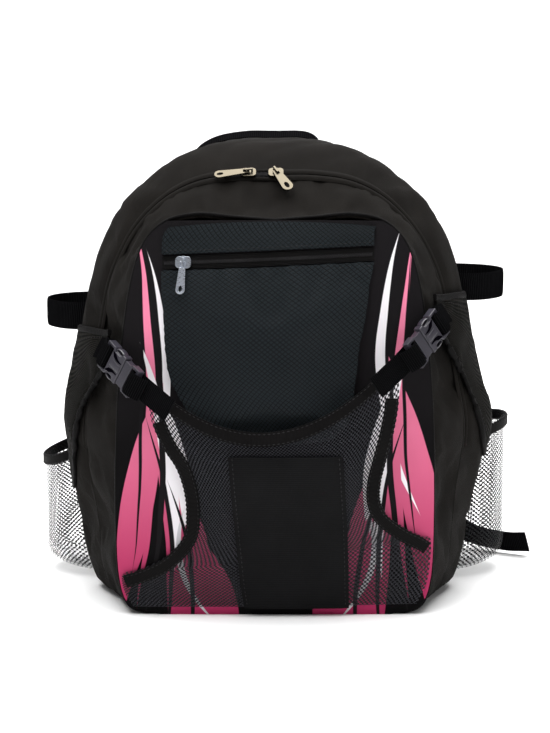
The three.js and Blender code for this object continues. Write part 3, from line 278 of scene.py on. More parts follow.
def curve_through(points, samples=40):
    """A smooth line through points: between two of them it is the cubic whose slopes come from
    the neighbours, with each span weighted by the root of its length."""
    spots = np.asarray(points, float)
    spots = np.vstack([2 * spots[0] - spots[1], spots, 2 * spots[-1] - spots[-2]])
    gaps = np.sqrt(np.linalg.norm(np.diff(spots, axis=0), axis=1))[:, None]
    before, here, after = gaps[:-2], gaps[1:-1], gaps[2:]
    p0, p1, p2, p3 = spots[:-3], spots[1:-2], spots[2:-1], spots[3:]
    leave = ((p1 - p0) / before - (p2 - p0) / (before + here) + (p2 - p1) / here) * here
    reach = ((p2 - p1) / here - (p3 - p1) / (here + after) + (p3 - p2) / after) * here
    t = np.linspace(0, 1, samples, endpoint=False)[:, None, None]
    curved = 3 * (p2 - p1) - 2 * leave - reach
    twisted = 2 * (p1 - p2) + leave + reach
    line = p1 + t * (leave + t * (curved + t * twisted))
    return np.vstack([line.transpose(1, 0, 2).reshape(-1, spots.shape[1]), spots[-2:-1]])


def summed(steps):
    """The running total of a row of steps, from 0."""
    return np.concatenate([[0], np.cumsum(steps)])


def walked(line):
    """How far along a line each of its points lies."""
    return summed(np.linalg.norm(np.diff(line, axis=0), axis=1))


def unit(vectors):
    """Vectors brought to the length 1."""
    return vectors / np.maximum(np.linalg.norm(vectors, axis=-1, keepdims=True), TINY)


def along(line, shares):
    """Points at the given shares of a line's length."""
    far = walked(line)
    at = np.asarray(shares, float) * far[-1]
    return np.stack([np.interp(at, far, column) for column in line.T], axis=-1)


def read(line, at):
    """Every other column of a line at places along its first, rising column."""
    return [np.interp(at, line[:, 0], column) for column in line.T[1:]]


def front_edge_y(z):
    """Where the front panel's seam lies: it leans back with the square of the height."""
    return REAR_Y - BODY_DEPTH + FRONT_LEAN * (z / FRONT_HEIGHT) ** 2


body_line = curve_through(BODY_OUTLINE)
front_line = curve_through(FRONT_OUTLINE)
station_line = curve_through(STATIONS)


def body_wall(turn, depth):
    """The gussets' skin. turn runs from 0 at the base's middle up the right side, over the
    crown at 0.5 and down the left; depth from 0 at the back to 1 at the front panel's seam. A
    point is the body's outline times the station's width and height, blended into the front
    panel's outline, with each dent taken off as a bell of rise and depth."""
    turn, depth = np.broadcast_arrays(np.asarray(turn, float) % 1, np.asarray(depth, float))
    side = np.where(turn <= 0.5, 1.0, -1.0)
    share = 1 - np.abs(2 * turn - 1)
    body = along(body_line, share)
    front = along(front_line, share)
    wide, tall, squared = read(station_line, depth)
    scale = np.ones_like(depth)
    for fold_side, rise, place, spread, push in FOLDS:
        bell = np.exp(-(((body[..., 1] - rise) / spread) ** 2) - ((depth - place) / spread) ** 2)
        scale = scale - push * bell * (side == fold_side)
    x = body[..., 0] * BODY_WIDTH / 2 * wide * (1 - squared) + front[..., 0] * FRONT_HALF * squared
    z = body[..., 1] * BODY_HEIGHT * tall * (1 - squared) + front[..., 1] * FRONT_HEIGHT * squared
    z = np.maximum(z, 0)
    y = REAR_Y + (front_edge_y(z) - REAR_Y) * depth
    return np.stack([side * x * scale, y, z], axis=-1)


def slopes(points, wrap=False):
    """The steps of rows of points from each row to the next. With wrap the last meets the first."""
    if not wrap:
        return np.gradient(points, axis=0)
    return np.gradient(np.concatenate([points[-1:], points, points[:1]]), axis=0)[1:-1]


def outward_normals(points, wrap=False):
    """Unit normals of a grid: the cross product of its two directions, away from the bag."""
    normals = unit(np.cross(slopes(points, wrap), np.gradient(points, axis=1)))
    return -normals if np.sum(normals * (points - BAG_CENTRE)) < 0 else normals


def winding(points):
    """1 if a grid's rows and columns turn to face away from the bag, and -1 if they don't."""
    turned = np.cross(slopes(points), np.gradient(points, axis=1))
    return -1 if np.sum(turned * (points - BAG_CENTRE)) < 0 else 1


def cloth(name, points, low, high, material, wrap=False):
    """A closed cloth from a grid of points: a skin at each of two heights over it, joined round
    the rims. Its map is in metres, along the mean lengths of the rows and of the columns."""
    order = winding(points)
    grid = points[::order]
    rows, columns = grid.shape[:2]
    low, high = (np.broadcast_to(height, (rows, columns))[::order, :, None] for height in (low, high))
    normals = outward_normals(grid, wrap)
    vertices = np.concatenate([grid + high * normals, grid + low * normals]).reshape(-1, 3)
    closed = np.concatenate([grid, grid[:1]]) if wrap else grid
    u = summed(np.linalg.norm(np.diff(closed, axis=0), axis=2).mean(axis=1))
    v = summed(np.linalg.norm(np.diff(grid, axis=1), axis=2).mean(axis=0))

    def corner(i, j, skin):
        return skin * rows * columns + (i % rows) * columns + j

    def quads(i, j, skins, reverse=False):
        order = -1 if reverse else 1
        index = np.stack([corner(a, b, s) for a, b, s in zip(i, j, skins)], axis=-1)[..., ::order]
        place = np.stack([np.stack([u[a], v[b]], axis=-1) for a, b in zip(i, j)], axis=-2)
        return index.reshape(-1, 4), place[..., ::order, :].reshape(-1, 4, 2)

    spans = rows if wrap else rows - 1
    i, j = np.meshgrid(np.arange(spans), np.arange(columns - 1), indexing="ij")
    parts = [
        quads((i, i + 1, i + 1, i), (j, j, j + 1, j + 1), (0, 0, 0, 0)),
        quads((i, i + 1, i + 1, i), (j, j, j + 1, j + 1), (1, 1, 1, 1), True),
    ]
    i = np.arange(spans)
    for edge, reverse in ((0, False), (columns - 1, True)):
        j = np.full(spans, edge)
        parts.append(quads((i, i, i + 1, i + 1), (j, j, j, j), (0, 1, 1, 0), reverse))
    if not wrap:
        j = np.arange(columns - 1)
        for edge, reverse in ((0, True), (rows - 1, False)):
            i = np.full(columns - 1, edge)
            parts.append(quads((i, i, i, i), (j, j, j + 1, j + 1), (0, 1, 1, 0), reverse))
    faces, uv = (np.concatenate(part) for part in zip(*parts))
    piece = raw_mesh(name, vertices, faces.tolist(), material, uv)
    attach(piece, "bag")
    return piece


FRAMES = 20
STEPS_A_FRAME = 6
CLOTH_WEIGHT = 0.15


def relax(name, places, faces, held, growth, pressure, reach, bending=2.0):
    """Lets cloth buckle: it is cut larger by growth, held at some points, blown outwards by
    pressure, and stepped through a cloth simulation. No point moves further than reach."""
    mesh = bpy.data.meshes.new(name)
    mesh.from_pydata(places.tolist(), [], faces.tolist())
    loose = bpy.data.objects.new(name, mesh)
    scene.collection.objects.link(loose)
    loose.vertex_groups.new(name="held").add(np.flatnonzero(held).tolist(), 1.0, "REPLACE")
    modifier = loose.modifiers.new("cloth", "CLOTH")
    settings = modifier.settings
    settings.quality = STEPS_A_FRAME
    settings.mass = CLOTH_WEIGHT
    settings.bending_stiffness = bending
    settings.shrink_min = -growth
    settings.shrink_max = -growth
    settings.vertex_group_mass = "held"
    settings.use_pressure = True
    settings.uniform_pressure_force = pressure
    settings.effector_weights.gravity = 0
    modifier.collision_settings.use_collision = False
    modifier.point_cache.frame_end = FRAMES
    for step in range(1, FRAMES + 1):
        scene.frame_set(step)
    solved = loose.evaluated_get(bpy.context.evaluated_depsgraph_get()).data
    found = np.empty(places.size, np.float32)
    solved.vertices.foreach_get("co", found)
    bpy.data.objects.remove(loose)
    scene.frame_set(1)
    moved = found.reshape(places.shape).astype(float) - places
    length = np.linalg.norm(moved, axis=-1, keepdims=True)
    return places + moved * np.minimum(1, reach / np.maximum(length, TINY))


def settle(name, points, held, growth, pressure, reach, bending=2.0, wrap=False):
    """Relaxes one layer of cloth on a grid of points, held at its seams."""
    rows, columns = points.shape[:2]
    spans = rows if wrap else rows - 1
    i, j = np.meshgrid(np.arange(spans), np.arange(columns - 1), indexing="ij")
    low, high = i * columns + j, (i + 1) % rows * columns + j
    faces = np.stack([low, high, high + 1, low + 1], axis=-1)[..., :: winding(points)].reshape(-1, 4)
    places = relax(name, points.reshape(-1, 3), faces, held.ravel(), growth, pressure, reach, bending)
    return places.reshape(points.shape)


THREAD_PITCH = 0.0011
THREAD_RELIEF = 0.0002


def woven(name, base):
    """Plain weave: over and under threads as the product of two sine waves of the cloth's map,
    with slow noise for handling marks and fine noise for loose fibres."""
    material, shader, spot, cloth_map = new_material(
        name, base, 0.82, Sheen_Weight=0.012, Sheen_Roughness=0.5, Specular_IOR_Level=0.05
    )
    turn = 2 * math.pi / THREAD_PITCH
    threads = (cloth_map.part(0) * turn).sine() * (cloth_map.part(1) * turn).sine()
    slow = spot.noise(22, 3)
    fine = spot.noise(900, 1)
    tone = (slow * 0.7 + fine * 0.2 + threads * 0.12).rise(0.25, 0.75)
    feed(
        shader,
        Base_Color=tone.blend(shade(base, 0.736), shade(base, 1.36)),
        Roughness=slow * 0.14 + 0.75,
        Normal=(threads * 0.5 + fine * 0.5 + slow * 0.6).bump(THREAD_RELIEF),
    )
    return material


polyester = woven("black_polyester", colour(22, 20, 18))

RING_STEPS = 240
REAR_STEPS = 28
FRONT_STEPS = 13
BASE_HELD = 0.003
FLOOR_PLAY = 0.0002
LOOSE_REACH = 0.0036
CROWN_SLACK = 0.15
WALL_PRESSURE = 0.2
CREASE_DEPTH = 0.0016
CREASE_FOOT = 0.012
CREASE_FADE = 0.03
# Turns in radians a metre, around and across the ring: the creases, how far they bend and the
# waves that bend them, and the waves by which they come and go, with a start for each.
CREASES = [
    ((70, 120), 1.6, (21, 0, 1), (17, 0, 2)),
    ((96, -84), 1.3, (33, 40, 0), (13, 30, 4)),
]
ring_turns = np.arange(RING_STEPS) / RING_STEPS


def creased(points, share):
    """Cloth pressed in along creases: two slanting families of waves, bent by slower waves, are
    sharpened to valleys that come and go round the ring and die out at the seams and base."""
    around = walked(points.mean(axis=1))[:, None]
    across = share * np.linalg.norm(points[0, -1] - points[0, 0])
    valleys = 0
    for (turns, slant), sway, bent, strong in CREASES:
        bend, come = (np.sin(around * wave[0] + across * wave[1] + wave[2]) for wave in (bent, strong))
        crease = np.sin(around * turns + across * slant + sway * bend)
        valleys = valleys + (1 - np.abs(crease)) ** 2 * (0.5 + 0.5 * come)
    fade = np.sin(math.pi * share) ** 0.7 * np.clip((points[..., 2] - CREASE_FOOT) / CREASE_FADE, 0, 1)
    return points - outward_normals(points) * (valleys * fade * CREASE_DEPTH)[..., None]


def gusset(name, first, last, steps, growth):
    """One ring of the wall between two depths, simulated with its two seams and base held."""
    share = np.linspace(0, 1, steps)[None, :]
    points = body_wall(ring_turns[:, None], np.linspace(first, last, steps)[None, :])
    held = points[..., 2] < BASE_HELD
    held[:, [0, -1]] = True
    loose = np.where(points[..., 2] > CROWN_FROM, CROWN_SLACK, 1) * LOOSE_REACH
    points = settle(name, points, held, growth, WALL_PRESSURE, loose.reshape(-1, 1), wrap=True)
    points = creased(points, share)
    points[..., 2] = np.maximum(points[..., 2], FLOOR_PLAY)
    return cloth(name, points, -WALL, 0.0, polyester, wrap=True)


rear_wall = gusset("rear_wall", 0.0, ZIPPER_DEPTH - ZIPPER_SPLIT, REAR_STEPS, growth=0.03)
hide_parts("rear_body")
front_wall = gusset("front_wall", ZIPPER_DEPTH + ZIPPER_SPLIT, 1.0, FRONT_STEPS, growth=0.025)
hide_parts("front_body")

# Seam piping and stitching.
# A thin cord wrapped in black tape is sewn into the seams round the front and the back, and a
# row of thread stitches runs beside it.
PIPING_RADIUS = 0.0014
SEAM_INSET = 0.026
UNDER_BAG = 0.004
OVER_CLOTH = 0.0001
STITCH_LONG = 0.0026
STITCH_PITCH = 0.0037
STITCH_THICK = 0.0003
STITCH_WIDE = 0.00045
# A stitch's faces over its corners: the two ends, the top, the foot and the two sides.
SPINDLE = np.array(
    [[2, 4, 0], [5, 2, 0], [3, 5, 0], [4, 3, 0], [4, 2, 1], [2, 5, 1], [5, 3, 1], [3, 4, 1]]
)


def square_to(ahead, outward):
    """The part of each outward direction that is square to the path, as a unit direction."""
    return unit(outward - ahead * np.sum(outward * ahead, axis=1, keepdims=True))


def ring_skin(rings, closed=False):
    """The faces between the rings of a row, four corners each, with the steps along the row and
    round the rings of each, and 1 or -1 for the way that the rings turn along the row."""
    count, sides = rings.shape[:2]
    centre = rings.mean(axis=1)
    spin = np.cross(rings[:, 0] - centre, rings[:, 1] - centre)
    order = 1 if np.sum(spin * slopes(centre)) > 0 else -1
    i, j = np.meshgrid(np.arange(count if closed else count - 1), np.arange(sides), indexing="ij")
    corners = [(i, j), (i, j + 1), (i + 1, j + 1), (i + 1, j)]
    quads = np.stack([a % count * sides + b % sides for a, b in corners], axis=-1)
    return quads.reshape(-1, 4)[:, ::order], corners, order


def closed_tube(name, rings, material, closed=False):
    """A skin round a row of rings. Its map is in metres, along the row and round the rings."""
    count, sides = rings.shape[:2]
    quads, corners, order = ring_skin(rings, closed)
    centre = rings.mean(axis=1)
    far = walked(np.vstack([centre, centre[:1]]))
    girth = summed(np.linalg.norm(np.roll(rings, -1, axis=1) - rings, axis=2).mean(axis=0))
    places = np.stack([np.stack([far[a], girth[b]], axis=-1) for a, b in corners], axis=-2)
    faces = quads.tolist()
    uv = places.reshape(-1, 4, 2)[:, ::order].reshape(-1, 2)
    if not closed:
        first, last = np.arange(sides), (count - 1) * sides + np.arange(sides)
        faces += [first[:: -order].tolist(), last[::order].tolist()]
        uv = np.concatenate([uv, np.zeros((2 * sides, 2))])
    piece = raw_mesh(name, rings, faces, material, uv)
    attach(piece, "bag")
    return piece


def rings_round(path, outward, half_out, half_across, sides=12, power=2.0, closed=False):
    """Rings square to a path. Each is a rounded box: the halves out and across times the sine and
    the cosine of its turn, both to the power 2 / power."""
    ahead = unit(slopes(path, closed))
    out = square_to(ahead, np.broadcast_to(outward, path.shape))
    across = np.cross(ahead, out)
    turn = np.arange(sides) / sides * 2 * math.pi
    rise = np.sign(np.sin(turn)) * np.abs(np.sin(turn)) ** (2 / power)
    reach = np.sign(np.cos(turn)) * np.abs(np.cos(turn)) ** (2 / power)
    half_out, half_across = (
        np.broadcast_to(half, len(path))[:, None, None] for half in (half_out, half_across)
    )
    return (
        path[:, None]
        + out[:, None] * rise[None, :, None] * half_out
        + across[:, None] * reach[None, :, None] * half_across
    )


def stitches(name, path, outward):
    """A row of stitches: each is a slim spindle of eight faces that lies along the path."""
    far = walked(path)
    count = int(far[-1] / STITCH_PITCH)
    middles = (np.arange(count) + 0.5) * STITCH_PITCH

    def at(values, where):
        return np.stack([np.interp(where, far, column) for column in values.T], axis=-1)

    start, middle, end = (at(path, middles + shift) for shift in (-STITCH_LONG / 2, 0, STITCH_LONG / 2))
    ahead = unit(end - start)
    out = square_to(ahead, at(np.broadcast_to(outward, path.shape), middles))
    side = np.cross(ahead, out) * STITCH_WIDE
    out = out * STITCH_THICK
    vertices = np.stack([start, end, middle + out, middle - out, middle + side, middle - side], axis=1)
    faces = (np.arange(count)[:, None, None] * vertices.shape[1] + SPINDLE).reshape(-1, 3)
    piece = raw_mesh(name, vertices, faces.tolist(), thread, sharp=180)
    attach(piece, "bag")
    return piece


def sewn_rows(name, points, columns, over, outward):
    """Rows of stitches along some columns of a tape's points, lying over it by its thickness."""
    for place, column in columns.items():
        out = outward[:, column] if np.ndim(outward) == 3 else np.array(outward)
        stitches(f"{name}_{place}", points[:, column] + out * over, out)


def ribbed(name, base, pitch, relief, roughness, contrast=0.14, shine=0.05, across_cloth=True):
    """Woven tape: ribs are a sine of one way of the cloth's map, and finer threads a sine of the
    other way, with fine noise for fibres and slow noise for rubbed places."""
    material, shader, spot, cloth_map = new_material(name, base, roughness, Specular_IOR_Level=shine)
    turn = 2 * math.pi / pitch
    ribs = (cloth_map.part(0 if across_cloth else 1) * turn).sine()
    threads = (cloth_map.part(1 if across_cloth else 0) * (turn * 1.7)).sine()
    slow = spot.noise(35, 2)
    fine = spot.noise(1100, 1)
    # Painted light: the colour is lighter on the rib and thread crests and darker in the grooves between
    # them, by contrast, as highlight and shade on the relief. The noise adds fibres and rubbed places.
    tone = (ribs * contrast + threads * 0.08 + fine * 0.25 + slow * 0.5).rise(0.1, 0.85)
    feed(
        shader,
        Base_Color=tone.blend(shade(base, 0.6 - contrast * 0.5), shade(base, 1.6 + contrast)),
        Roughness=slow * 0.16 + (roughness - 0.08),
        Normal=(ribs * 0.6 + threads * 0.25 + fine * 0.3).bump(relief),
    )
    return material


tape = ribbed("binding_tape", colour(14, 13, 13), pitch=0.0011, relief=0.00022, roughness=0.55)
thread = ribbed("sewing_thread", colour(44, 43, 44), pitch=0.0008, relief=0.0001, roughness=0.6)
seam_turns = np.linspace(0.004, 0.996, 340)
for label, depth, lift in (("front", 1.0, 0.0006), ("back", 0.0, 0.0004)):
    seam = body_wall(seam_turns, depth)
    beside = body_wall(seam_turns, abs(depth - SEAM_INSET))
    wide = np.stack([body_wall(seam_turns, abs(depth - share)) for share in (0.0, 0.02, 0.04)], axis=1)
    outward = outward_normals(wide)
    cord_line = seam + outward[:, 0] * lift
    cord_line[:, 2] = np.maximum(cord_line[:, 2], PIPING_RADIUS)
    rings = rings_round(cord_line, outward[:, 0], PIPING_RADIUS, PIPING_RADIUS, sides=10)
    closed_tube(f"seam_piping_{label}", rings, tape)
    seen = beside[:, 2] > UNDER_BAG
    row = beside + outward[:, 1] * OVER_CLOTH
    stitches(f"seam_stitches_{label}", row[seen], outward[:, 1][seen])

# Back panel.
# The pad that lies against the wearer's back: foam under spacer cloth, sewn down round its edge
# and along two upright channels.
BACK_PAD = 0.008
BACK_STEPS = 70
PIT_TURNS = 2100
EDGE_ROLL = 0.006
CHANNELS = (-0.036, 0.036)
CHANNEL_REACH = 0.004
CHANNEL_END = 0.012
back_scale = [STATIONS[0][1] * BODY_WIDTH / 2, STATIONS[0][2] * BODY_HEIGHT]
back_edge = along(body_line, np.linspace(0, 1, 400)) * back_scale
back_rising = back_edge[np.searchsorted(back_edge[:, 1], 1e-5) :]


def spacer_cloth():
    """Spacer cloth: small round pits where two waves of the cloth's map are both low."""
    base = colour(20, 20, 21)
    material, shader, spot, cloth_map = new_material("spacer_cloth", base, 0.85, Specular_IOR_Level=0.1)
    pits = (cloth_map.part(0) * PIT_TURNS).sine() * (cloth_map.part(1) * PIT_TURNS).sine()
    slow = spot.noise(28, 2)
    feed(
        shader,
        Base_Color=(pits * 0.3 + slow * 0.7).rise(0, 0.9).blend(colour(8, 8, 9), colour(31, 30, 31)),
        Roughness=slow * 0.1 + 0.8,
        Normal=(pits + slow * 0.3).bump(0.0004),
    )
    return material


back_cloth = spacer_cloth()
back_z = np.linspace(0.0004, back_edge[-1, 1] - 0.0002, BACK_STEPS)[:, None]
back_share = np.sin(np.linspace(-1, 1, BACK_STEPS)[None, :] * math.pi / 2)
back_half = np.interp(back_z, back_rising[:, 1], back_rising[:, 0])
back_x = back_share * back_half
back_points = np.stack(np.broadcast_arrays(back_x, REAR_Y, back_z), axis=-1)
from_ends = np.minimum(back_z, back_edge[-1, 1] - back_z) * 1.4
from_edge = np.minimum((1 - np.abs(back_share)) * back_half, from_ends)
crown = 1 - np.exp(-np.maximum(from_edge, 0) / EDGE_ROLL)
channels = sum(np.exp(-(((back_x - x) / CHANNEL_REACH) ** 2)) for x in CHANNELS)
channels = channels * (from_edge > CHANNEL_END)
back_high = SEAM_GAP + BACK_PAD * (0.35 + 0.65 * crown) * (1 - 0.35 * channels)
back_pad = cloth("back_pad", back_points, SEAM_GAP, back_high, back_cloth)
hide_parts("back_panel")

# Front panel.
# The panel that closes the front is smooth polyester, printed with long tapering blades in
# pink and white on black, and sewn into the front ring with a piped seam.
PANEL_STEPS = 64
FINE_TURNS = 7000
front_edge = along(front_line, np.linspace(0, 1, 200)) * [FRONT_HALF, FRONT_HEIGHT]
rising = front_edge[: np.argmax(front_edge[:, 1]) + 1]
PANEL_CROWN = FRONT_OUTLINE[-1][1] * FRONT_HEIGHT


def front_half_width(z):
    """The front panel's half width at a height, read off its outline."""
    return np.interp(z, rising[:, 1], rising[:, 0])


def front_y(x, z):
    """The panel's face: the seam's lean less a bulge that fades with the square of the distance
    across and the fourth power of the distance up from its middle."""
    across = np.minimum(np.abs(x) / front_half_width(z), 1)
    up = np.clip(np.abs(2 * z / FRONT_HEIGHT - 1), 0, 1)
    return front_edge_y(z) - FRONT_BULGE * (1 - across**2) * (1 - up**4)


def printed_cloth():
    """Blades are lines x = foot + (tip - foot) * t + 4 * bend * t * (1 - t) over the share t of
    their height. Each is as wide as its width times 4 * t * (1 - t), with a soft edge."""
    ink = colour(20, 18, 20)
    white = colour(236, 232, 236)
    pale = colour(205, 204, 208)
    material, shader, spot, cloth_map = new_material("printed_polyester", ink, 0.6, Specular_IOR_Level=0.06)
    x, z = spot.part(0), spot.part(2)
    wobble = spot.noise(14, 1) * 0.006 - 0.003
    tone = (z * 4.2).rise(0, 1).blend(colour(172, 48, 92), colour(232, 128, 160))
    blades = [
        # colour, foot x, foot z, tip x, tip z, bend, width
        (white, -0.113, 0.060, -0.099, 0.285, 0.022, 0.007),
        (tone, -0.108, 0.006, -0.107, 0.305, 0.012, 0.008),
        (tone, -0.120, 0.000, -0.086, 0.185, -0.004, 0.026),
        (tone, -0.084, -0.030, -0.093, 0.130, 0.020, 0.034),
        (white, -0.070, 0.055, -0.096, 0.190, 0.010, 0.012),
        (tone, -0.050, -0.060, -0.070, 0.075, 0.012, 0.040),
        (tone, 0.120, 0.000, 0.088, 0.205, 0.006, 0.028),
        (white, 0.112, 0.080, 0.096, 0.300, -0.022, 0.008),
        (tone, 0.104, 0.010, 0.108, 0.300, -0.012, 0.008),
        (tone, 0.084, -0.030, 0.096, 0.145, -0.018, 0.034),
        (white, 0.072, 0.060, 0.098, 0.200, -0.008, 0.012),
        (tone, 0.052, -0.060, 0.072, 0.080, -0.012, 0.040),
        (white, -0.080, 0.030, -0.104, 0.215, 0.010, 0.011),
        (white, 0.082, 0.030, 0.104, 0.215, -0.010, 0.011),
        (pale, -0.044, -0.010, -0.070, 0.088, -0.016, 0.005),
        (pale, 0.046, -0.010, 0.070, 0.088, 0.016, 0.005),
        (ink, -0.104, -0.010, -0.094, 0.240, 0.012, 0.005),
        (ink, -0.090, -0.040, -0.100, 0.160, 0.014, 0.004),
        (ink, -0.112, 0.030, -0.106, 0.290, 0.006, 0.003),
        (ink, -0.070, -0.040, -0.084, 0.110, 0.012, 0.004),
        (ink, 0.106, -0.010, 0.094, 0.230, -0.010, 0.005),
        (ink, 0.086, -0.040, 0.102, 0.160, -0.014, 0.004),
        (ink, 0.110, 0.050, 0.106, 0.290, -0.008, 0.003),
        (ink, 0.068, -0.040, 0.084, 0.110, -0.012, 0.004),
    ]
    # Painted shade: below 0.12 to 0.19 m the ink is darkened to near black, where the net holder shades the
    # panel.
    cover = z.rise(0.12, 0.19).blend(colour(5, 4, 5), ink)
    for paint, foot_x, foot_z, tip_x, tip_z, bend, width in blades:
        t = (z - foot_z) / (tip_z - foot_z)
        full = t * (1 - t)
        middle = t * (tip_x - foot_x) + full * (4 * bend) + wobble + foot_x
        inside = full * (4 * width / 2) - abs(x - middle)
        cover = inside.rise(-0.0002, 0.0004).blend(cover, paint)
    threads = (cloth_map.part(0) * FINE_TURNS).sine() * (cloth_map.part(1) * FINE_TURNS).sine()
    slow = spot.noise(30, 2)
    relief = (threads * 0.4 + slow).bump(0.00015)
    feed(shader, Base_Color=cover, Roughness=slow * 0.15 + 0.52, Normal=relief)
    return material


print_cloth = printed_cloth()
panel_z = np.linspace(0, PANEL_CROWN, PANEL_STEPS)[:, None]
panel_x = np.linspace(-1, 1, PANEL_STEPS)[None, :] * front_half_width(panel_z)
panel_points = np.stack(np.broadcast_arrays(panel_x, front_y(panel_x, panel_z), panel_z), axis=-1)
front_panel = cloth(
    "front_panel_cloth", panel_points, SEAM_GAP, SEAM_GAP + WALL, print_cloth
)
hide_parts("front_panel")

# Main zipper.
# A coil zipper round the arch, hidden under two folded flaps of the wall's cloth that part only
# between its two sliders, where a short piece of the coil shows.
FLAP_LIFT = 0.0007
FLAP_LOFT = 0.0011
FLAP_EDGE = 0.00025
FLAP_FACE = 0.00172
FLAP_SEAM = 0.55
ZIPPER_THICKNESS = 0.0006
ZIPPER_LOWEST = 0.34 * BODY_HEIGHT
SLIDER_PLACES = (-0.0206, 0.0008)
PARTING = 0.004
FLAP_GAPS = (0.0022, 0.011)
COIL_TURNS = 26
COIL_HALF = 0.0085
COIL_RISE = 0.0005
COIL_WIRE = 0.00028


def smooth_rise(value, low, high):
    """A smooth step from 0 at low to 1 at high."""
    share = np.clip((value - low) / (high - low), 0, 1)
    return share * share * (3 - 2 * share)


arch_turns = np.linspace(0.05, 0.95, 700)
arch_turns = arch_turns[body_wall(arch_turns, ZIPPER_DEPTH)[:, 2] > ZIPPER_LOWEST]
arch_x, _, arch_z = body_wall(arch_turns, ZIPPER_DEPTH).T
arch_high = arch_z > CROWN_FROM
past_first, past_second = (smooth_rise(arch_x, x - PARTING, x + PARTING) for x in SLIDER_PLACES)
opening = (FLAP_GAPS[0] + FLAP_GAPS[1] * past_first * (1 - past_second) * arch_high)[:, None]
for label, sign in (("rear", -1), ("front", 1)):
    share = np.linspace(0, 1, 9)[None, :]
    depths = ZIPPER_DEPTH + sign * (ZIPPER_HALF + (opening - ZIPPER_HALF) * share)
    points = body_wall(arch_turns[:, None], depths)
    high = FLAP_LIFT + FLAP_EDGE + FLAP_LOFT * np.sin(share * math.pi * 0.86)
    flap = cloth(f"zipper_flap_{label}", points, FLAP_LIFT, high, polyester)
    line = body_wall(arch_turns, ZIPPER_DEPTH + sign * ZIPPER_HALF * FLAP_SEAM)
    wide = np.stack([body_wall(arch_turns, ZIPPER_DEPTH + shift) for shift in (-0.01, 0, 0.01)], axis=1)
    outward = outward_normals(wide)[:, 1]
    stitches(f"zipper_stitches_{label}", line + outward * FLAP_FACE, outward)
tape_depths = ZIPPER_DEPTH + np.linspace(-0.9, 0.9, 5)[None, :] * ZIPPER_HALF
points = body_wall(arch_turns[:, None], tape_depths)
cloth("zipper_tape", points, OVER_CLOTH, ZIPPER_THICKNESS, tape)
coil_turns = np.linspace(0, COIL_TURNS, COIL_TURNS * 10) * 2 * math.pi
coil_x = np.linspace(SLIDER_PLACES[0] - 0.003, SLIDER_PLACES[1] + 0.003, len(coil_turns))
crown_order = np.argsort(arch_x[arch_high])
coil_arch = np.interp(coil_x, arch_x[arch_high][crown_order], arch_turns[arch_high][crown_order])
coil_line = body_wall(coil_arch, ZIPPER_DEPTH + COIL_HALF * np.cos(coil_turns))
coil_line[:, 2] += 0.0012 + COIL_RISE * np.sin(coil_turns)
rings = rings_round(coil_line, (0, 0, 1), COIL_WIRE, COIL_WIRE, sides=6)
closed_tube("zipper_coil", rings, thread)
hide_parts("main_zipper")

# Sliders and pull tabs: cast metal with a pale nickel finish, worn brighter in places, each tab
# hanging on its slider's bridge. Their edges are rounded from the frame's own solids.
EDGE_ROUND = 0.00035
EDGE_SEGMENTS = 3


def cast_metal(name, base):
    """Nickel: slow noise clouds its colour, and stretched noise gives fine rubbing marks."""
    material, shader, spot, _ = new_material(name, base, 0.3, Metallic=1.0)
    slow = spot.noise(90, 2)
    marks = spot.noise(420, 2, (1, 1, 5))
    feed(
        shader,
        Base_Color=(slow * 0.7 + marks * 0.3).blend(shade(base, 0.72), base),
        Roughness=slow * 0.14 + marks * 0.12 + 0.16,
        Normal=(slow + marks * 0.15).bump(0.00006),
    )
    return material


def rounded(name, node, material, body, width):
    """A copy of a frame solid with its loose triangles joined, flat faces merged and edges
    rounded by a bevel."""
    shape = bmesh.new()
    shape.from_mesh(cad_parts[node].data)
    bmesh.ops.remove_doubles(shape, verts=shape.verts[:], dist=1e-6)
    bmesh.ops.dissolve_limit(shape, angle_limit=math.radians(2), verts=shape.verts[:], edges=shape.edges[:])
    mesh = bpy.data.meshes.new(name)
    shape.to_mesh(mesh)
    shape.free()
    for layer in list(mesh.uv_layers):
        mesh.uv_layers.remove(layer)
    mesh.materials.clear()
    mesh.materials.append(material)
    mesh.shade_smooth()
    mesh.set_sharp_from_angle(angle=math.radians(50))
    piece = bpy.data.objects.new(name, mesh)
    scene.collection.objects.link(piece)
    bevel = piece.modifiers.new("edges", "BEVEL")
    bevel.width = width
    bevel.segments = EDGE_SEGMENTS
    bevel.limit_method = "ANGLE"
    bevel.angle_limit = math.radians(28)
    bevel.harden_normals = True
    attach(piece, body)
    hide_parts(node)
    return piece


nickel = cast_metal("pale_nickel", colour(90, 84, 72))
cool_nickel = cast_metal("cool_nickel", colour(224, 230, 242))
for label in ("left", "right"):
    rounded(f"slider_{label}", f"zip_slider_{label}", nickel, "bag", EDGE_ROUND)
    rounded(f"zip_pull_{label}", f"pull_tab_{label}", nickel, f"pull_tab_{label}", EDGE_ROUND)

# Front pocket.
# A padded pocket of blue-black cloth embossed with a diamond lattice, sewn to the panel round
# its tapering foot and closed by a zipper, with a strip of the same cloth above the zipper.
PANEL_FACE = SEAM_GAP + WALL
POCKET_LOFT = 0.006
POCKET_WALL = 0.0025
POCKET_FOOT = 0.44
POCKET_ZIP_LEFT = 0.885
POCKET_ZIP_RIGHT = 0.907
DIAMOND = 0.0036
FORWARD = np.array([0, -1, 0])
# Rows from the zipper down: left and right ends across, their heights, and the sag between.
POCKET_ROWS = [
    (-0.7, 0.615, 0.865, 0.887, 0.0), (-0.697, 0.59, 0.83, 0.85, 0.0), (-0.685, 0.555, 0.75, 0.76, 0.0),
    (-0.68, 0.52, 0.67, 0.68, 0.0), (-0.65, 0.5, 0.6, 0.61, 0.0), (-0.56, 0.48, 0.54, 0.55, 0.0),
    (-0.46, 0.44, 0.49, 0.5, 0.01), (-0.34, 0.35, 0.455, 0.46, 0.015),
]


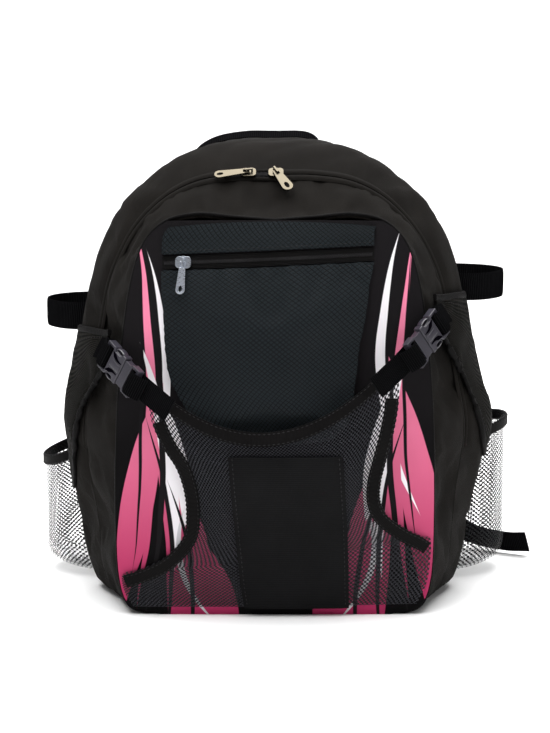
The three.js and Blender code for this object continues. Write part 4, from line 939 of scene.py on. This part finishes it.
def front_point(across, up, lift):
    """A point over the panel's face, across and up as shares of its half width and height."""
    x = across * FRONT_HALF
    z = up * FRONT_HEIGHT
    return np.stack([x, front_y(x, z) - PANEL_FACE - lift(x, z), z], axis=-1)


def front_grid(rows, row_count, column_count, lift):
    """A sheet over the panel: its rows run along a smooth line through the table's, and each
    sags between its ends by a parabola."""
    ends = along(curve_through(rows), np.linspace(0, 1, row_count))
    left_x, right_x, left_z, right_z, sag = ends.T[..., None]
    share = np.linspace(0, 1, column_count)[None, :]
    across = left_x + (right_x - left_x) * share
    up = left_z + (right_z - left_z) * share - sag * (1 - (2 * share - 1) ** 2)
    return front_point(across, up, lift)


def pocket_lift(x, z):
    """The pocket's loft: a parabola across its width times a flat-topped rise over its height."""
    across = np.minimum(np.abs(x / FRONT_HALF) / 0.7, 1)
    up = 2 * (z / FRONT_HEIGHT - POCKET_FOOT) / (POCKET_ZIP_LEFT - POCKET_FOOT) - 1
    return SEAM_GAP + POCKET_LOFT * (1 - across**2) * (1 - np.minimum(up**4, 1))


def flat_lift(x, z):
    """No loft: the cloth lies on the panel over a seam's gap."""
    return SEAM_GAP + 0 * x


def edges_held(points):
    """Flags over a grid of points, set along its four edges, where the cloth is sewn down."""
    held = np.zeros(points.shape[:2], bool)
    held[[0, -1]] = True
    held[:, [0, -1]] = True
    return held


def embossed_cloth():
    """The lattice is the sum of two waves that slant each way across the cloth's map, so that
    it is low along two families of crossing lines and high in the diamonds between them."""
    base = colour(17, 21, 24)
    material, shader, spot, cloth_map = new_material("embossed_cloth", base, 0.4, Specular_IOR_Level=0.08)
    u = cloth_map.part(0) * (math.pi / DIAMOND)
    v = cloth_map.part(1) * (math.pi / DIAMOND * 0.9)
    lattice = abs((u + v).sine()).least(abs((u - v).sine())).rise(0.05, 0.5)
    slow = spot.noise(26, 3)
    fine = spot.noise(800, 1)
    # Painted light: the raised diamonds are coloured lighter and the grooves between them darker, as
    # highlight and shade on the embossing. The slow noise adds tone that differs at random.
    tone = (lattice + slow * 0.7).rise(0.45, 1.35)
    feed(
        shader,
        Base_Color=tone.blend(colour(1, 2, 2), colour(28, 33, 36)),
        Roughness=lattice * -0.12 + slow * 0.15 + 0.46,
        Normal=(lattice + fine * 0.08 + slow * 0.1).bump(0.0003),
    )
    return material


pocket_cloth = embossed_cloth()
points = front_grid(POCKET_ROWS, 60, 60, pocket_lift)
points = settle(
    "front_pocket_pad", points, edges_held(points), growth=0.008, pressure=0.3, reach=0.0018, bending=4.0
)
front_pocket = cloth("front_pocket_pad", points, 0.0, POCKET_WALL, pocket_cloth)
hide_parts("front_pocket")

STRIP_ABOVE = [
    (-0.7, 0.615, 0.905, 0.927, 0.0), (-0.7, 0.615, 0.93, 0.952, 0.0), (-0.69, 0.62, 0.953, 0.965, 0.0),
    (-0.66, 0.63, 0.97, 0.972, -0.012),
]
points = front_grid(STRIP_ABOVE, 14, 60, flat_lift)
top_strip = cloth("pocket_strip", points, 0.0, POCKET_WALL, pocket_cloth)
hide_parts("pocket_top_strip")

# Pocket zipper.
# A black coil zipper sewn into the slot above the pocket, with one slider near its left end.
POCKET_ZIPPER_WIDTH = 0.0098
POCKET_BAND = POCKET_ZIPPER_WIDTH / FRONT_HEIGHT / 2
POCKET_ENDS = (-0.69, 0.605)
POCKET_COIL_TURNS = 190
POCKET_COIL_HALF = 0.0013
POCKET_COIL_WIRE = 0.00022
band_rows = [
    (-0.7, 0.615, POCKET_ZIP_LEFT + rise, POCKET_ZIP_RIGHT + rise, 0.0)
    for rise in (-POCKET_BAND, POCKET_BAND)
]
points = front_grid(band_rows, 5, 40, flat_lift)
pocket_tape = cloth("pocket_zipper_tape", points, 0.0, ZIPPER_THICKNESS, tape)
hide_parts("pocket_zipper")


def zip_up(share):
    """The zipper's height over its length, as a share of the panel's."""
    return POCKET_ZIP_LEFT + (POCKET_ZIP_RIGHT - POCKET_ZIP_LEFT) * share


share = np.linspace(0, 1, POCKET_COIL_TURNS * 8)
coil_turns = share * POCKET_COIL_TURNS * 2 * math.pi
coil_up = zip_up(share) + POCKET_COIL_HALF / FRONT_HEIGHT * np.cos(coil_turns)
line = front_point(POCKET_ENDS[0] + (POCKET_ENDS[1] - POCKET_ENDS[0]) * share, coil_up, flat_lift)
line[:, 1] -= 0.0009 + 0.0003 * np.sin(coil_turns)
rings = rings_round(line, FORWARD, POCKET_COIL_WIRE, POCKET_COIL_WIRE, sides=5)
closed_tube("pocket_zipper_coil", rings, thread)
for label, rise in (("low", -0.027), ("high", 0.029)):
    share = np.linspace(0, 1, 80)
    line = front_point(POCKET_ENDS[0] + 1.29 * share, zip_up(share) + rise, flat_lift)
    stitches(f"pocket_stitches_{label}", line + FORWARD * (POCKET_WALL + OVER_CLOTH), FORWARD)
rounded("slider_pocket", "pocket_slider", cool_nickel, "bag", EDGE_ROUND)
rounded("zip_pull_pocket", "pull_tab_pocket", cool_nickel, "pull_tab_pocket", EDGE_ROUND)

# Net holder.
# One hourglass of black knitted net, sewn in at the foot and the lower sides and held up by
# the two buckles, so that its top sags open like a hammock for a helmet or gloves.
MESH_THICKNESS = 0.0012
MESH_BELLY = 0.0035
MESH_STANDOFF = 0.013
# Rows from the top down: left and right ends across, their heights, and the sag between.
MESH_ROWS = [
    (-0.785, 0.76, 0.572, 0.627, 0.115), (-0.762, 0.765, 0.505, 0.555, 0.077),
    (-0.69, 0.735, 0.44, 0.48, 0.045), (-0.61, 0.69, 0.39, 0.41, 0.02),
    (-0.565, 0.66, 0.33, 0.36, 0.008), (-0.555, 0.655, 0.27, 0.315, 0.0),
    (-0.575, 0.69, 0.215, 0.275, 0.0), (-0.7, 0.82, 0.155, 0.23, 0.0), (-0.85, 0.93, 0.122, 0.205, 0.0),
    (-0.965, 0.985, 0.105, 0.19, 0.0), (-0.955, 0.965, 0.06, 0.09, 0.0), (-0.9, 0.9, 0.022, 0.03, 0.0),
]


def mesh_lift(x, z):
    """How far the net stands off: a low belly, and the top held out by the buckles."""
    across = np.minimum(np.abs(x / FRONT_HALF), 1)
    up = z / FRONT_HEIGHT
    belly = MESH_BELLY * (1 - across**4) * smooth_rise(up, 0, 0.12)
    return SEAM_GAP + belly + MESH_STANDOFF * smooth_rise(up, 0.16, 0.44)


def knitted_net(name, base, hole, open_share):
    """Rows of rounded holes, each row shifted by half a hole: the two waves of the cloth's map
    multiply to a field that is high in the holes, and the net shows where it is low."""
    material, shader, spot, cloth_map = new_material(name, base, 0.6, Specular_IOR_Level=0.15)
    u = cloth_map.part(0) * (math.pi / hole)
    v = cloth_map.part(1) * (math.pi / hole)
    field = abs(u.sine() * v.sine()).most(abs((u + math.pi / 2).sine() * (v + math.pi / 2).sine()))
    strand = 1 - field.rise(open_share - 0.06, open_share + 0.06)
    fine = spot.noise(1200, 1)
    relief = (strand * 0.8 + fine * 0.2).bump(0.0003)
    feed(shader, Alpha=strand, Base_Color=fine.blend(colour(9, 9, 10), base), Normal=relief)
    return material


holder_net = knitted_net("black_net", colour(60, 60, 66), hole=0.003, open_share=0.58)
points = front_grid(MESH_ROWS, 90, 90, mesh_lift)
mesh_holder = cloth("net_holder", points, 0.0, MESH_THICKNESS, holder_net)
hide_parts("mesh_holder")

# Net bindings and centre strip.
# Black tape is folded round the net's sagging top and its hollow sides, and a band of smooth
# webbing is sewn down the middle to carry the pull of the helmet.
BINDING_WIDTH = 0.011
BINDING_THICKNESS = 0.0014
LAYER_GAP = 0.0008
TOP_CORNER = 0.004
TOP_DROP = 0.0015
TOP_SAG_SHARE = 0.93
BAND_THICKNESS = 0.0014


def over_mesh(layers):
    """The height of tape that lies over the net with this many layers beneath it."""
    extra = MESH_THICKNESS + LAYER_GAP * (1 + layers) + BINDING_THICKNESS * layers
    return lambda x, z: mesh_lift(x, z) + extra


def soft_edges(columns, thickness, share=0.55):
    """The height of tape across its width: full in the middle, falling at its two folded edges."""
    across = np.abs(np.linspace(-1, 1, columns))[None, :]
    return thickness * (1 - share * across**6)


top = MESH_ROWS[0]
inset = (BINDING_WIDTH + TOP_CORNER) / FRONT_HALF
drops = [(TOP_DROP + width) / FRONT_HEIGHT for width in (0, BINDING_WIDTH)]
top_rows = [
    (top[0] + inset, top[1] - inset, top[2] - drop, top[3] - drop, top[4] * TOP_SAG_SHARE) for drop in drops
]
top_points = front_grid(top_rows, 9, 90, over_mesh(0)).transpose(1, 0, 2)
top_tape = cloth("net_top_tape", top_points, 0.0, soft_edges(9, BINDING_THICKNESS), tape)
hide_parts("mesh_top_binding")
sewn_rows("net_top_stitches", top_points, {"high": 1, "low": 7}, BINDING_THICKNESS, FORWARD)

for side, label in ((-1, "left"), (1, "right")):
    end = 0 if side < 0 else 1
    edge = np.array([(row[end] * FRONT_HALF, row[2 + end] * FRONT_HEIGHT) for row in MESH_ROWS[:10]])
    line = along(curve_through(edge), np.linspace(0.125, 1, 80))
    ahead = unit(slopes(line))
    inward = np.stack([side * ahead[:, 1], -side * ahead[:, 0]], axis=1)
    shares = np.linspace(0.04, 0.96, 9)[None, :, None]
    flat = line[:, None] + inward[:, None] * shares * BINDING_WIDTH
    points = front_point(flat[..., 0] / FRONT_HALF, flat[..., 1] / FRONT_HEIGHT, over_mesh(0))
    high = soft_edges(9, BINDING_THICKNESS)
    side_tape = cloth(f"net_side_tape_{label}", points, 0.0, high, tape)
    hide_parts(f"mesh_side_binding_{label}")
    rows = {"outer": 1, "inner": 7}
    sewn_rows(f"net_side_stitches_{label}", points, rows, BINDING_THICKNESS, FORWARD)

# Left and right ends across and height, from the top tape down to the foot.
STRIP_ROWS = [
    (-0.29, 0.42, 0.425, 0.425, 0), (-0.275, 0.435, 0.34, 0.34, 0), (-0.255, 0.45, 0.25, 0.25, 0),
    (-0.235, 0.46, 0.16, 0.16, 0), (-0.215, 0.465, 0.08, 0.08, 0), (-0.195, 0.47, 0.022, 0.022, 0),
]
satin = ribbed("satin_webbing", colour(13, 13, 14), pitch=0.0016, relief=0.00006, roughness=0.42)
strip_points = front_grid(STRIP_ROWS, 60, 30, over_mesh(0.2))
strip_band = cloth("centre_band", strip_points, 0.0, soft_edges(30, BAND_THICKNESS), satin)
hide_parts("centre_strip")
sewn_rows("centre_band_stitches", strip_points, {"left": 1, "right": 28}, BAND_THICKNESS, FORWARD)

# Side wings.
# Triangles of doubled cloth, sewn into the side seam and drawn forward to the buckles, that
# squeeze the bag flat. Their long free edge is bound with a folded tape.
WING_ROWS = [
    (0.51, 0.235, 0.585, 0.0016), (0.56, 0.235, 0.587, 0.0032), (0.6, 0.24, 0.588, 0.0034),
    (0.64, 0.27, 0.59, 0.0038), (0.69, 0.34, 0.592, 0.0042), (0.755, 0.435, 0.593, 0.0042),
    (0.83, 0.5, 0.596, 0.0036), (0.88, 0.53, 0.6, 0.0036),
]
WING_RAISE = {-1: 0.0, 1: 0.075}
WING_THICKNESS = 0.002
WING_COLUMNS = 24
side_turns = np.linspace(0.02, 0.48, 160)
wall_depths = np.linspace(0, 1, 60)
heights = np.linspace(0, BODY_HEIGHT, 400)
wall_tables = {}
for side in (-1, 1):
    lines = np.abs(body_wall((side * side_turns)[:, None], wall_depths[None, :])).transpose(1, 0, 2)
    wall_tables[side] = np.stack([np.interp(heights, line[:, 2], line[:, 0]) for line in lines], axis=1)


def wall_x(side, y, z):
    """The body wall's distance from the middle at a depth and height, read off a table of it."""
    even = wall_tables[side]
    depth = np.clip((REAR_Y - y) / (REAR_Y - front_edge_y(z)), 0, 1)
    spot = depth * (len(wall_depths) - 1)
    low = np.minimum(spot.astype(int), len(wall_depths) - 2)
    row = np.clip(z / BODY_HEIGHT, 0, 1) * (len(heights) - 1)
    below = np.minimum(row.astype(int), len(heights) - 2)
    up = row - below
    near = even[below, low] * (1 - up) + even[below + 1, low] * up
    far = even[below, low + 1] * (1 - up) + even[below + 1, low + 1] * up
    return near + (far - near) * (spot - low)


def side_point(side, depth, z):
    """A point on the body's side wall, at a depth share and a height."""
    depth, z = np.broadcast_arrays(np.asarray(depth, float), np.asarray(z, float))
    y = REAR_Y + (front_edge_y(z) - REAR_Y) * depth
    return np.stack([side * wall_x(side, y, z), y, z], axis=-1)


# The strong contrast paints the ribs' crests much lighter and their grooves much darker, as light and shade.
wing_cloth = ribbed(
    "ribbed_wing_cloth", colour(20, 19, 17), pitch=0.0029, relief=0.0008, roughness=0.75, contrast=0.6,
    across_cloth=False,
)
for side, label in ((-1, "left"), (1, "right")):
    depth, low, high, lift = along(np.array(WING_ROWS), np.linspace(0, 1, 40)).T
    share = np.linspace(0, 1, WING_COLUMNS)[None, :]
    z = (low[:, None] + (high - low)[:, None] * share + WING_RAISE[side]) * BODY_HEIGHT
    points = side_point(side, depth[:, None], z)
    points = points + outward_normals(points) * lift[:, None, None]
    points = settle(
        f"wing_{label}", points, edges_held(points), growth=0.01, pressure=0.15, reach=0.0015
    )
    wing = cloth(f"wing_{label}", points, 0.0, WING_THICKNESS, wing_cloth)
    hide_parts(f"side_wing_{label}")
    normals = outward_normals(points)
    for place, column in (("low", 0), ("high", WING_COLUMNS - 1)):
        line = points[:, column] + normals[:, column] * WING_THICKNESS / 2
        rings = rings_round(line, normals[:, column], 0.0017, 0.0026, power=3.0)
        closed_tube(f"wing_edge_{label}_{place}", rings, tape)
        row = points[:, 2 if column == 0 else -3] + normals[:, column] * (WING_THICKNESS + OVER_CLOTH)
        stitches(f"wing_stitches_{label}_{place}", row, normals[:, column])

# Side release buckles.
# Moulded in dark grey acetal: a socket on the wing's webbing and a plug on the net's, whose two
# curved prongs are snapped into the socket's side windows. Black webbing turns through each bar.
BUCKLE_LENGTH = 0.042
BUCKLE_THICKNESS = 0.007
BUCKLE_BAR = 0.003
BUCKLE_SLOT = 0.0056
BUCKLE_ROUND = 0.0007
OUTER_LIFT = 0.0125
INNER_LIFT = 0.0085 + MESH_STANDOFF * 1.15
WEBBING_WIDTH = 0.019
WEBBING_THICKNESS = 0.0014
# Side, rise of the outer end, and the inner end's place on the front.
BUCKLE_SEATS = [(-1, 0.567, -0.83, 0.585), (1, 0.636, 0.8, 0.643)]
# The webbing's way through a bar: which anchor, how far along, which layer, and its own rise.
WEBBING_TURNS = [
    ("bar", -5, -1, -0.4), ("bar", 0, -1, 0), ("slot", -0.9, -1, 0), ("slot", 0, -1, 1.2),
    ("slot", 0, 1, -1.2), ("slot", -0.9, 1, 0), ("bar", -1, 1, 0), ("bar", -5, 1, -2.5),
    ("bar", -9, -1, 2.4),
]
# Places in millimetres along a buckle, across it and out from its middle: the prongs' bows
# (their middle and their halves), the dark strips of painted shadow in the slots that part them from the
# socket, and its ridge.
BOW_MIDDLE = (16, 10.9)
BOW_HALVES = (4.6, 1.7)
SLOT_SHADOW_LINE = np.array([[9.8, 8.4, 3.56], [13.2, 6.6, 3.56], [17.2, 5.0, 3.56], [22.6, 4.9, 3.56]])
SLOT_SHADOW_HALVES = [0.0004, 0.0018, 0.0004]
RIDGE = np.array([[11.5, 0, 3.3], [14, 0, 3.7], [17.5, 0, 3.8], [21, 0, 3.7], [23.2, 0, 3.3]])
MILLIMETRE = 1 / 1000


def moulded(name, base, roughness, shine=0.5):
    """Moulded plastic: fine spark-eroded grain in the relief, and slow noise for handling."""
    material, shader, spot, _ = new_material(name, base, roughness, Specular_IOR_Level=shine)
    slow = spot.noise(60, 2)
    grain = spot.noise(1600, 2)
    feed(
        shader,
        Base_Color=(slow * 0.6 + grain * 0.4).blend(shade(base, 0.7), shade(base, 1.35)),
        Roughness=slow * 0.2 + (roughness - 0.1),
        Normal=(grain + slow).bump(0.00006),
    )
    return material


def basis(origin, ahead, outward):
    """The place and the three unit axes of a part: x ahead, z as near outward as it can be."""
    x = unit(ahead)
    y = unit(np.cross(outward, x))
    return origin, np.stack([x, y, np.cross(x, y)])


def strap(name, path, across, width, thickness, material, node, columns=9, edge=0.5):
    """Webbing along a path: each row runs across it, and its thickness falls off at both edges."""
    across = np.broadcast_to(across, path.shape)
    share = np.linspace(-0.5, 0.5, columns)
    grid = path[:, None] + across[:, None] * share[None, :, None] * width
    half = soft_edges(columns, thickness / 2, edge)
    piece = cloth(name, grid, -half, half, material)
    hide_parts(node)
    return piece


acetal = moulded("dark_acetal", colour(46, 44, 52), roughness=0.34)
# Near-black matte acetal that paints the shadow inside the socket's slots.
slot_shadow_paint = moulded("shadowed_acetal", colour(5, 4, 8), roughness=0.9, shine=0.0)
belt = ribbed(
    "black_webbing", colour(13, 13, 14), pitch=0.0016, relief=0.0003, roughness=0.8, contrast=0.35, shine=0.0
)
for side, rise, inner_x, inner_z in BUCKLE_SEATS:
    label = "left" if side < 0 else "right"
    mirror = np.array([side, 1, 1])
    outer = side_point(side, 0.945, rise * BODY_HEIGHT) + np.array([0.72, -0.7, 0]) * mirror * OUTER_LIFT
    inner = front_point(inner_x, inner_z, lambda x, z: INNER_LIFT)
    origin, axes = basis(outer, inner - outer, np.array([0.5, -0.85, 0]) * mirror)
    rounded(f"socket_{label}", f"buckle_socket_{label}", acetal, "bag", BUCKLE_ROUND)
    rounded(f"plug_{label}", f"buckle_plug_{label}", acetal, "bag", BUCKLE_ROUND)
    for place, turn in (("low", -1), ("high", 1)):
        bow = np.linspace(0, 2 * math.pi, 40, endpoint=False)
        way_x = BOW_MIDDLE[0] + BOW_HALVES[0] * np.cos(bow)
        way_y = BOW_MIDDLE[1] + BOW_HALVES[1] * np.sin(bow)
        way = origin + np.stack([way_x, turn * way_y, 0 * bow], axis=1) * MILLIMETRE @ axes
        rings = rings_round(way, axes[2], 0.0026, 0.0006, power=2.6, closed=True)
        closed_tube(f"prong_{label}_{place}", rings, acetal, closed=True)
        # A thin dark strip on the socket's face, painted as the shadow in the window beside each prong.
        way = origin + curve_through(SLOT_SHADOW_LINE * [1, turn, 1], 8) * MILLIMETRE @ axes
        width = np.interp(np.linspace(0, 1, len(way)), [0, 0.35, 1], SLOT_SHADOW_HALVES)
        rings = rings_round(way, axes[2], 0.0002, width)
        closed_tube(f"prong_slot_shadow_{label}_{place}", rings, slot_shadow_paint)
    way = origin + curve_through(RIDGE, 6) * MILLIMETRE @ axes
    rings = rings_round(way, axes[2], 0.0005, 0.0028, sides=20, power=3.0)
    closed_tube(f"socket_ridge_{label}", rings, acetal)

    raise_by = WING_RAISE[side]
    wing_top = (WING_ROWS[-2][1] + WING_ROWS[-2][2]) / 2 + raise_by + 0.02
    on_wing = side_point(side, 0.83, wing_top * BODY_HEIGHT) + np.array([0.85, -0.5, 0]) * mirror * 0.0086
    corner_x, corner_z = (top[0], top[2]) if side < 0 else (top[1], top[3])
    on_net = front_point(corner_x - side * 0.14, corner_z - 0.03, over_mesh(5.2))
    half = BUCKLE_THICKNESS / 2 + 0.0004 + WEBBING_THICKNESS / 2
    for piece_name, node, start, bar, way in (
        (f"wing_belt_{label}", f"buckle_webbing_{label}", on_wing, BUCKLE_BAR / 2, 1),
        (f"net_belt_{label}", f"holder_webbing_{label}", on_net, BUCKLE_LENGTH - BUCKLE_BAR / 2, -1),
    ):
        anchors = {"bar": bar, "slot": bar + way * (BUCKLE_BAR + BUCKLE_SLOT) / 2}
        turns = np.array([
            (anchors[anchor] + way * ahead * MILLIMETRE, 0, layer * half + lift * MILLIMETRE)
            for anchor, ahead, layer, lift in WEBBING_TURNS
        ])
        path = curve_through(np.vstack([start, origin + turns @ axes]), 7)
        strap(piece_name, path, axes[1], WEBBING_WIDTH, WEBBING_THICKNESS, belt, node)

# Side net pockets and loops.
# A pouch of net on each side, gathered under the base corner and bound with tape round its
# slanting rim, with a loop of webbing higher up that steadies what stands in it.
POUCH_CENTRE_Y = 0.046
POUCH_DEPTH = 0.074
POUCH_REACH = 0.194
POUCH_BASE = 0.007
POUCH_WALL = 0.0016
RIM_HEIGHT = 0.009
LOOP_HEIGHT = 0.022
LOOP_REACH = 0.190
LOOP_THICKNESS = 0.0022
BODY_CLEARANCE = 0.0015
# Side, rim height far from and close to the body, and the loop's height, as shares of the body's.
POUCH_SIDES = [(-1, 0.275, 0.33, 0.607), (1, 0.368, 0.335, 0.673)]
# Shares of the pouch's height and of its fullness, from the gathered foot up.
POUCH_FOOT = [
    (0.0, 0.0), (0.0, 0.45), (0.015, 0.82), (0.07, 0.96), (0.16, 1.0), (0.4, 1.0), (0.7, 1.0), (1.0, 1.0),
]


def pouch_point(side, turn, z, reach, fullness):
    """A pouch's wall: y goes as the cosine of turn, and it stands out from the body by the sine
    of turn to the power 0.6."""
    turn, z, fullness = np.broadcast_arrays(turn, z, fullness)
    y = POUCH_CENTRE_Y - POUCH_DEPTH / 2 * np.cos(turn)
    wall = wall_x(side, y, z) + BODY_CLEARANCE
    out = (reach - wall) * np.maximum(np.sin(turn), 0) ** 0.6 * fullness
    return np.stack([side * (wall + out), y, z], axis=-1)


def pouch_rim(outer, inner, turn):
    """The slanting rim's height round the pouch."""
    return (inner + (outer - inner) * np.maximum(np.sin(turn), 0) ** 0.6) * BODY_HEIGHT


pouch_net = knitted_net("pouch_net", colour(30, 30, 33), hole=0.0036, open_share=0.5)
for side, outer, inner, loop in POUCH_SIDES:
    label = "left" if side < 0 else "right"
    turn = (1 - np.cos(np.linspace(0, math.pi, 80)))[None, :] * math.pi / 2
    rows = along(curve_through(POUCH_FOOT), np.linspace(0, 1, 60))
    rim = pouch_rim(outer, inner, turn)
    z = POUCH_BASE + (rim - POUCH_BASE) * np.clip(rows[:, :1], 0, 1)
    points = pouch_point(side, turn, z, POUCH_REACH, np.clip(rows[:, 1:], 0, 1))
    pouch = cloth(f"pouch_{label}", points, -POUCH_WALL, 0.0, pouch_net)
    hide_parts(f"bat_pocket_{label}")

    turn = np.linspace(0.3, math.pi, 90)[:, None]
    z = pouch_rim(outer, inner, turn) + np.linspace(-RIM_HEIGHT, 0, 9)[None, :]
    points = pouch_point(side, turn, z, POUCH_REACH, 1)
    high = SEAM_GAP + soft_edges(9, BINDING_THICKNESS)
    rim_tape = cloth(f"pouch_tape_{label}", points, SEAM_GAP, high, tape)
    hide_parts(f"bat_pocket_binding_{label}")
    rows, over = {"low": 1, "high": 7}, SEAM_GAP + BINDING_THICKNESS
    sewn_rows(f"pouch_stitches_{label}", points, rows, over, outward_normals(points))

    turn = (1 - np.cos(np.linspace(0, math.pi, 90)))[:, None] * math.pi / 2
    z = loop * BODY_HEIGHT + np.linspace(-0.5, 0.5, 11)[None, :] * LOOP_HEIGHT
    points = pouch_point(side, turn, z, LOOP_REACH, 1)
    half = soft_edges(11, LOOP_THICKNESS / 2)
    middle = -LOOP_THICKNESS / 2
    belt_loop = cloth(f"side_loop_{label}", points, middle - half, middle + half, belt)
    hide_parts(f"bat_loop_{label}")

# Haul handle.
# A short length of broad webbing sewn to the top of the back, which bows up a little over the
# crown between its two ends.
HANDLE_WIDTH = 0.024
HANDLE_THICKNESS = 0.0024
HANDLE_RISE = 0.0046
HANDLE_LEAN = 0.17
HANDLE_ENDS = (-0.42, 0.215)
BACK_FACE = REAR_Y + SEAM_GAP + BACK_PAD
share = np.linspace(0, 1, 70)
handle_x = (HANDLE_ENDS[0] + (HANDLE_ENDS[1] - HANDLE_ENDS[0]) * share) * BODY_WIDTH / 2
crowns = [body_wall(np.linspace(0.62, 0.38, 400), depth) for depth in (0.0, 0.07, 0.1)]
crown_z = np.max([np.interp(handle_x, ring[:, 0], ring[:, 2]) for ring in crowns], axis=0)
handle_z = crown_z + SEAM_GAP + HANDLE_THICKNESS / 2 + HANDLE_RISE * (1 - (2 * share - 1) ** 12)
path = np.stack([handle_x, np.full_like(handle_x, BACK_FACE - HANDLE_WIDTH / 2), handle_z], axis=1)
across = unit(np.array([0, 1, HANDLE_LEAN]))
strap("grab_handle", path, across, HANDLE_WIDTH, HANDLE_THICKNESS, belt, "haul_handle", 13)

# Shoulder straps.
# Two padded bands, foam in polyester with a taped edge, sewn to the top of the back pad. Below
# each hangs a ladder adjuster, with webbing to the foot of the bag and a loose tail.
STRAP_WIDTH = 0.058
STRAP_THICKNESS = 0.011
STRAP_STANDOFF = 0.034
EDGE_TAPE = 0.0016
STRAP_PATH = [
    (0.19, 0.935, 0.0), (0.2, 0.905, 0.02), (0.24, 0.85, 0.55), (0.29, 0.76, 0.95),
    (0.35, 0.64, 1.0), (0.4, 0.53, 0.8), (0.44, 0.44, 0.5),
]
STRAP_FOOT = (0.66, 0.06)
ADJUSTER_LENGTH = 0.020
ADJUSTER_THICKNESS = 0.004
ADJUSTER_ROUND = 0.0006
TAIL_LIFT = 0.0006
STRAP_SEAM = 0.006
STRAP_WEBBING_WIDTH = 0.025
STRAP_WEBBING_THICKNESS = 0.0016
# Each loose tail's places across, up and out from the back, and how far it tilts.
TAIL_ROWS = {
    -1: [(0.6, 0.3, 0.5, 0), (0.62, 0.19, 0.42, 0), (0.63, 0.095, 0.4, 0)],
    1: [
        (0.61, 0.29, 0.6, 0), (0.71, 0.17, 0.62, 0.1), (0.88, 0.08, 0.45, 0.2),
        (1.06, 0.04, 0.1, 0.3), (1.22, 0.032, -0.28, 0.3), (1.325, 0.037, -0.55, 0.25),
    ],
}


def back_point(side, across, up, out):
    """A point behind the back panel, out metres from its face."""
    return np.stack([side * across * BODY_WIDTH / 2, BACK_FACE + out, up * BODY_HEIGHT], axis=-1)


for side in (-1, 1):
    label = "left" if side < 0 else "right"
    across, up, out = np.array(STRAP_PATH).T
    places = back_point(side, across, up, STRAP_THICKNESS / 2 + SEAM_GAP + out * STRAP_STANDOFF)
    line = along(curve_through(places), np.linspace(0, 1, 60))
    ahead = unit(slopes(line))
    sideways = unit(np.cross(ahead, (0, 1, 0)))
    away = np.cross(sideways, ahead)
    halves = STRAP_THICKNESS / 2 - 0.001, STRAP_WIDTH / 2 - 0.0015
    rings = rings_round(line, away, *halves, sides=36, power=3.4)
    count, sides = rings.shape[:2]
    held = np.zeros((count, sides), bool)
    held[[0, 1, -2, -1]] = True
    held[:, [0, 1, sides // 2 - 1, sides // 2, sides // 2 + 1, -1]] = True
    quads, _, _ = ring_skin(rings)
    puffed = relax(
        f"strap_pad_{label}", rings.reshape(-1, 3), quads, held.ravel(),
        growth=0.02, pressure=1.5, reach=0.0018, bending=3.0,
    )
    pad = closed_tube(f"strap_pad_{label}", puffed.reshape(rings.shape), polyester)
    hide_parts(f"shoulder_strap_{label}")
    for place, edge in (("inner", -1), ("outer", 1)):
        rim = line + sideways * edge * (STRAP_WIDTH / 2 - EDGE_TAPE)
        rings = rings_round(rim, away, 0.0034, EDGE_TAPE, power=2.6)
        closed_tube(f"strap_edge_{label}_{place}", rings, tape)
        row = line + sideways * edge * (STRAP_WIDTH / 2 - STRAP_SEAM)
        row = row + away * (STRAP_THICKNESS / 2 + OVER_CLOTH)
        stitches(f"strap_stitches_{label}_{place}", row[2:-2], away[2:-2])

    rounded(f"adjuster_{label}", f"strap_adjuster_{label}", acetal, "bag", ADJUSTER_ROUND)
    ahead = unit(line[-1] - line[-2])
    origin, axes = basis(line[-1] + ahead * 0.0006, ahead, np.array([0, 1, 0]))
    layer = ADJUSTER_THICKNESS / 2 + STRAP_WEBBING_THICKNESS / 2 + SEAM_GAP
    start = origin + np.array([BUCKLE_BAR, 0, -layer]) @ axes
    leave = origin + np.array([ADJUSTER_LENGTH * 1.2, 0, -layer]) @ axes
    foot = back_point(side, STRAP_FOOT[0], STRAP_FOOT[1], SEAM_GAP + STRAP_WEBBING_THICKNESS / 2)
    path = along(curve_through([start, leave, (leave + foot) / 2, foot]), np.linspace(0, 1, 50))
    width, thickness = STRAP_WEBBING_WIDTH, STRAP_WEBBING_THICKNESS
    strap(f"strap_belt_{label}", path, axes[1], width, thickness, belt, f"strap_webbing_{label}")

    rows = np.array(TAIL_ROWS[side])
    hanging = back_point(side, rows[:, 0], rows[:, 1], rows[:, 2] * STRAP_STANDOFF)
    begin = [[ahead, 0, layer + TAIL_LIFT] for ahead in (BUCKLE_BAR / 2, ADJUSTER_LENGTH)]
    begin = origin + np.array(begin) @ axes
    path = along(curve_through(np.vstack([begin, hanging])), np.linspace(0, 1, 70))
    ahead = unit(slopes(path))
    level = unit(np.cross((0, 1, 0), ahead))
    upright = np.cross(ahead, level)
    spots = np.concatenate([[0], (np.arange(len(rows)) + 2) / (len(rows) + 1)])
    tilt = np.interp(np.linspace(0, 1, 70), spots, np.concatenate([[0], rows[:, 3]]))[:, None]
    width_way = unit(level + (upright - level) * tilt)
    strap(f"loose_tail_{label}", path, width_way, width * 0.8, thickness, belt, f"strap_tail_{label}")
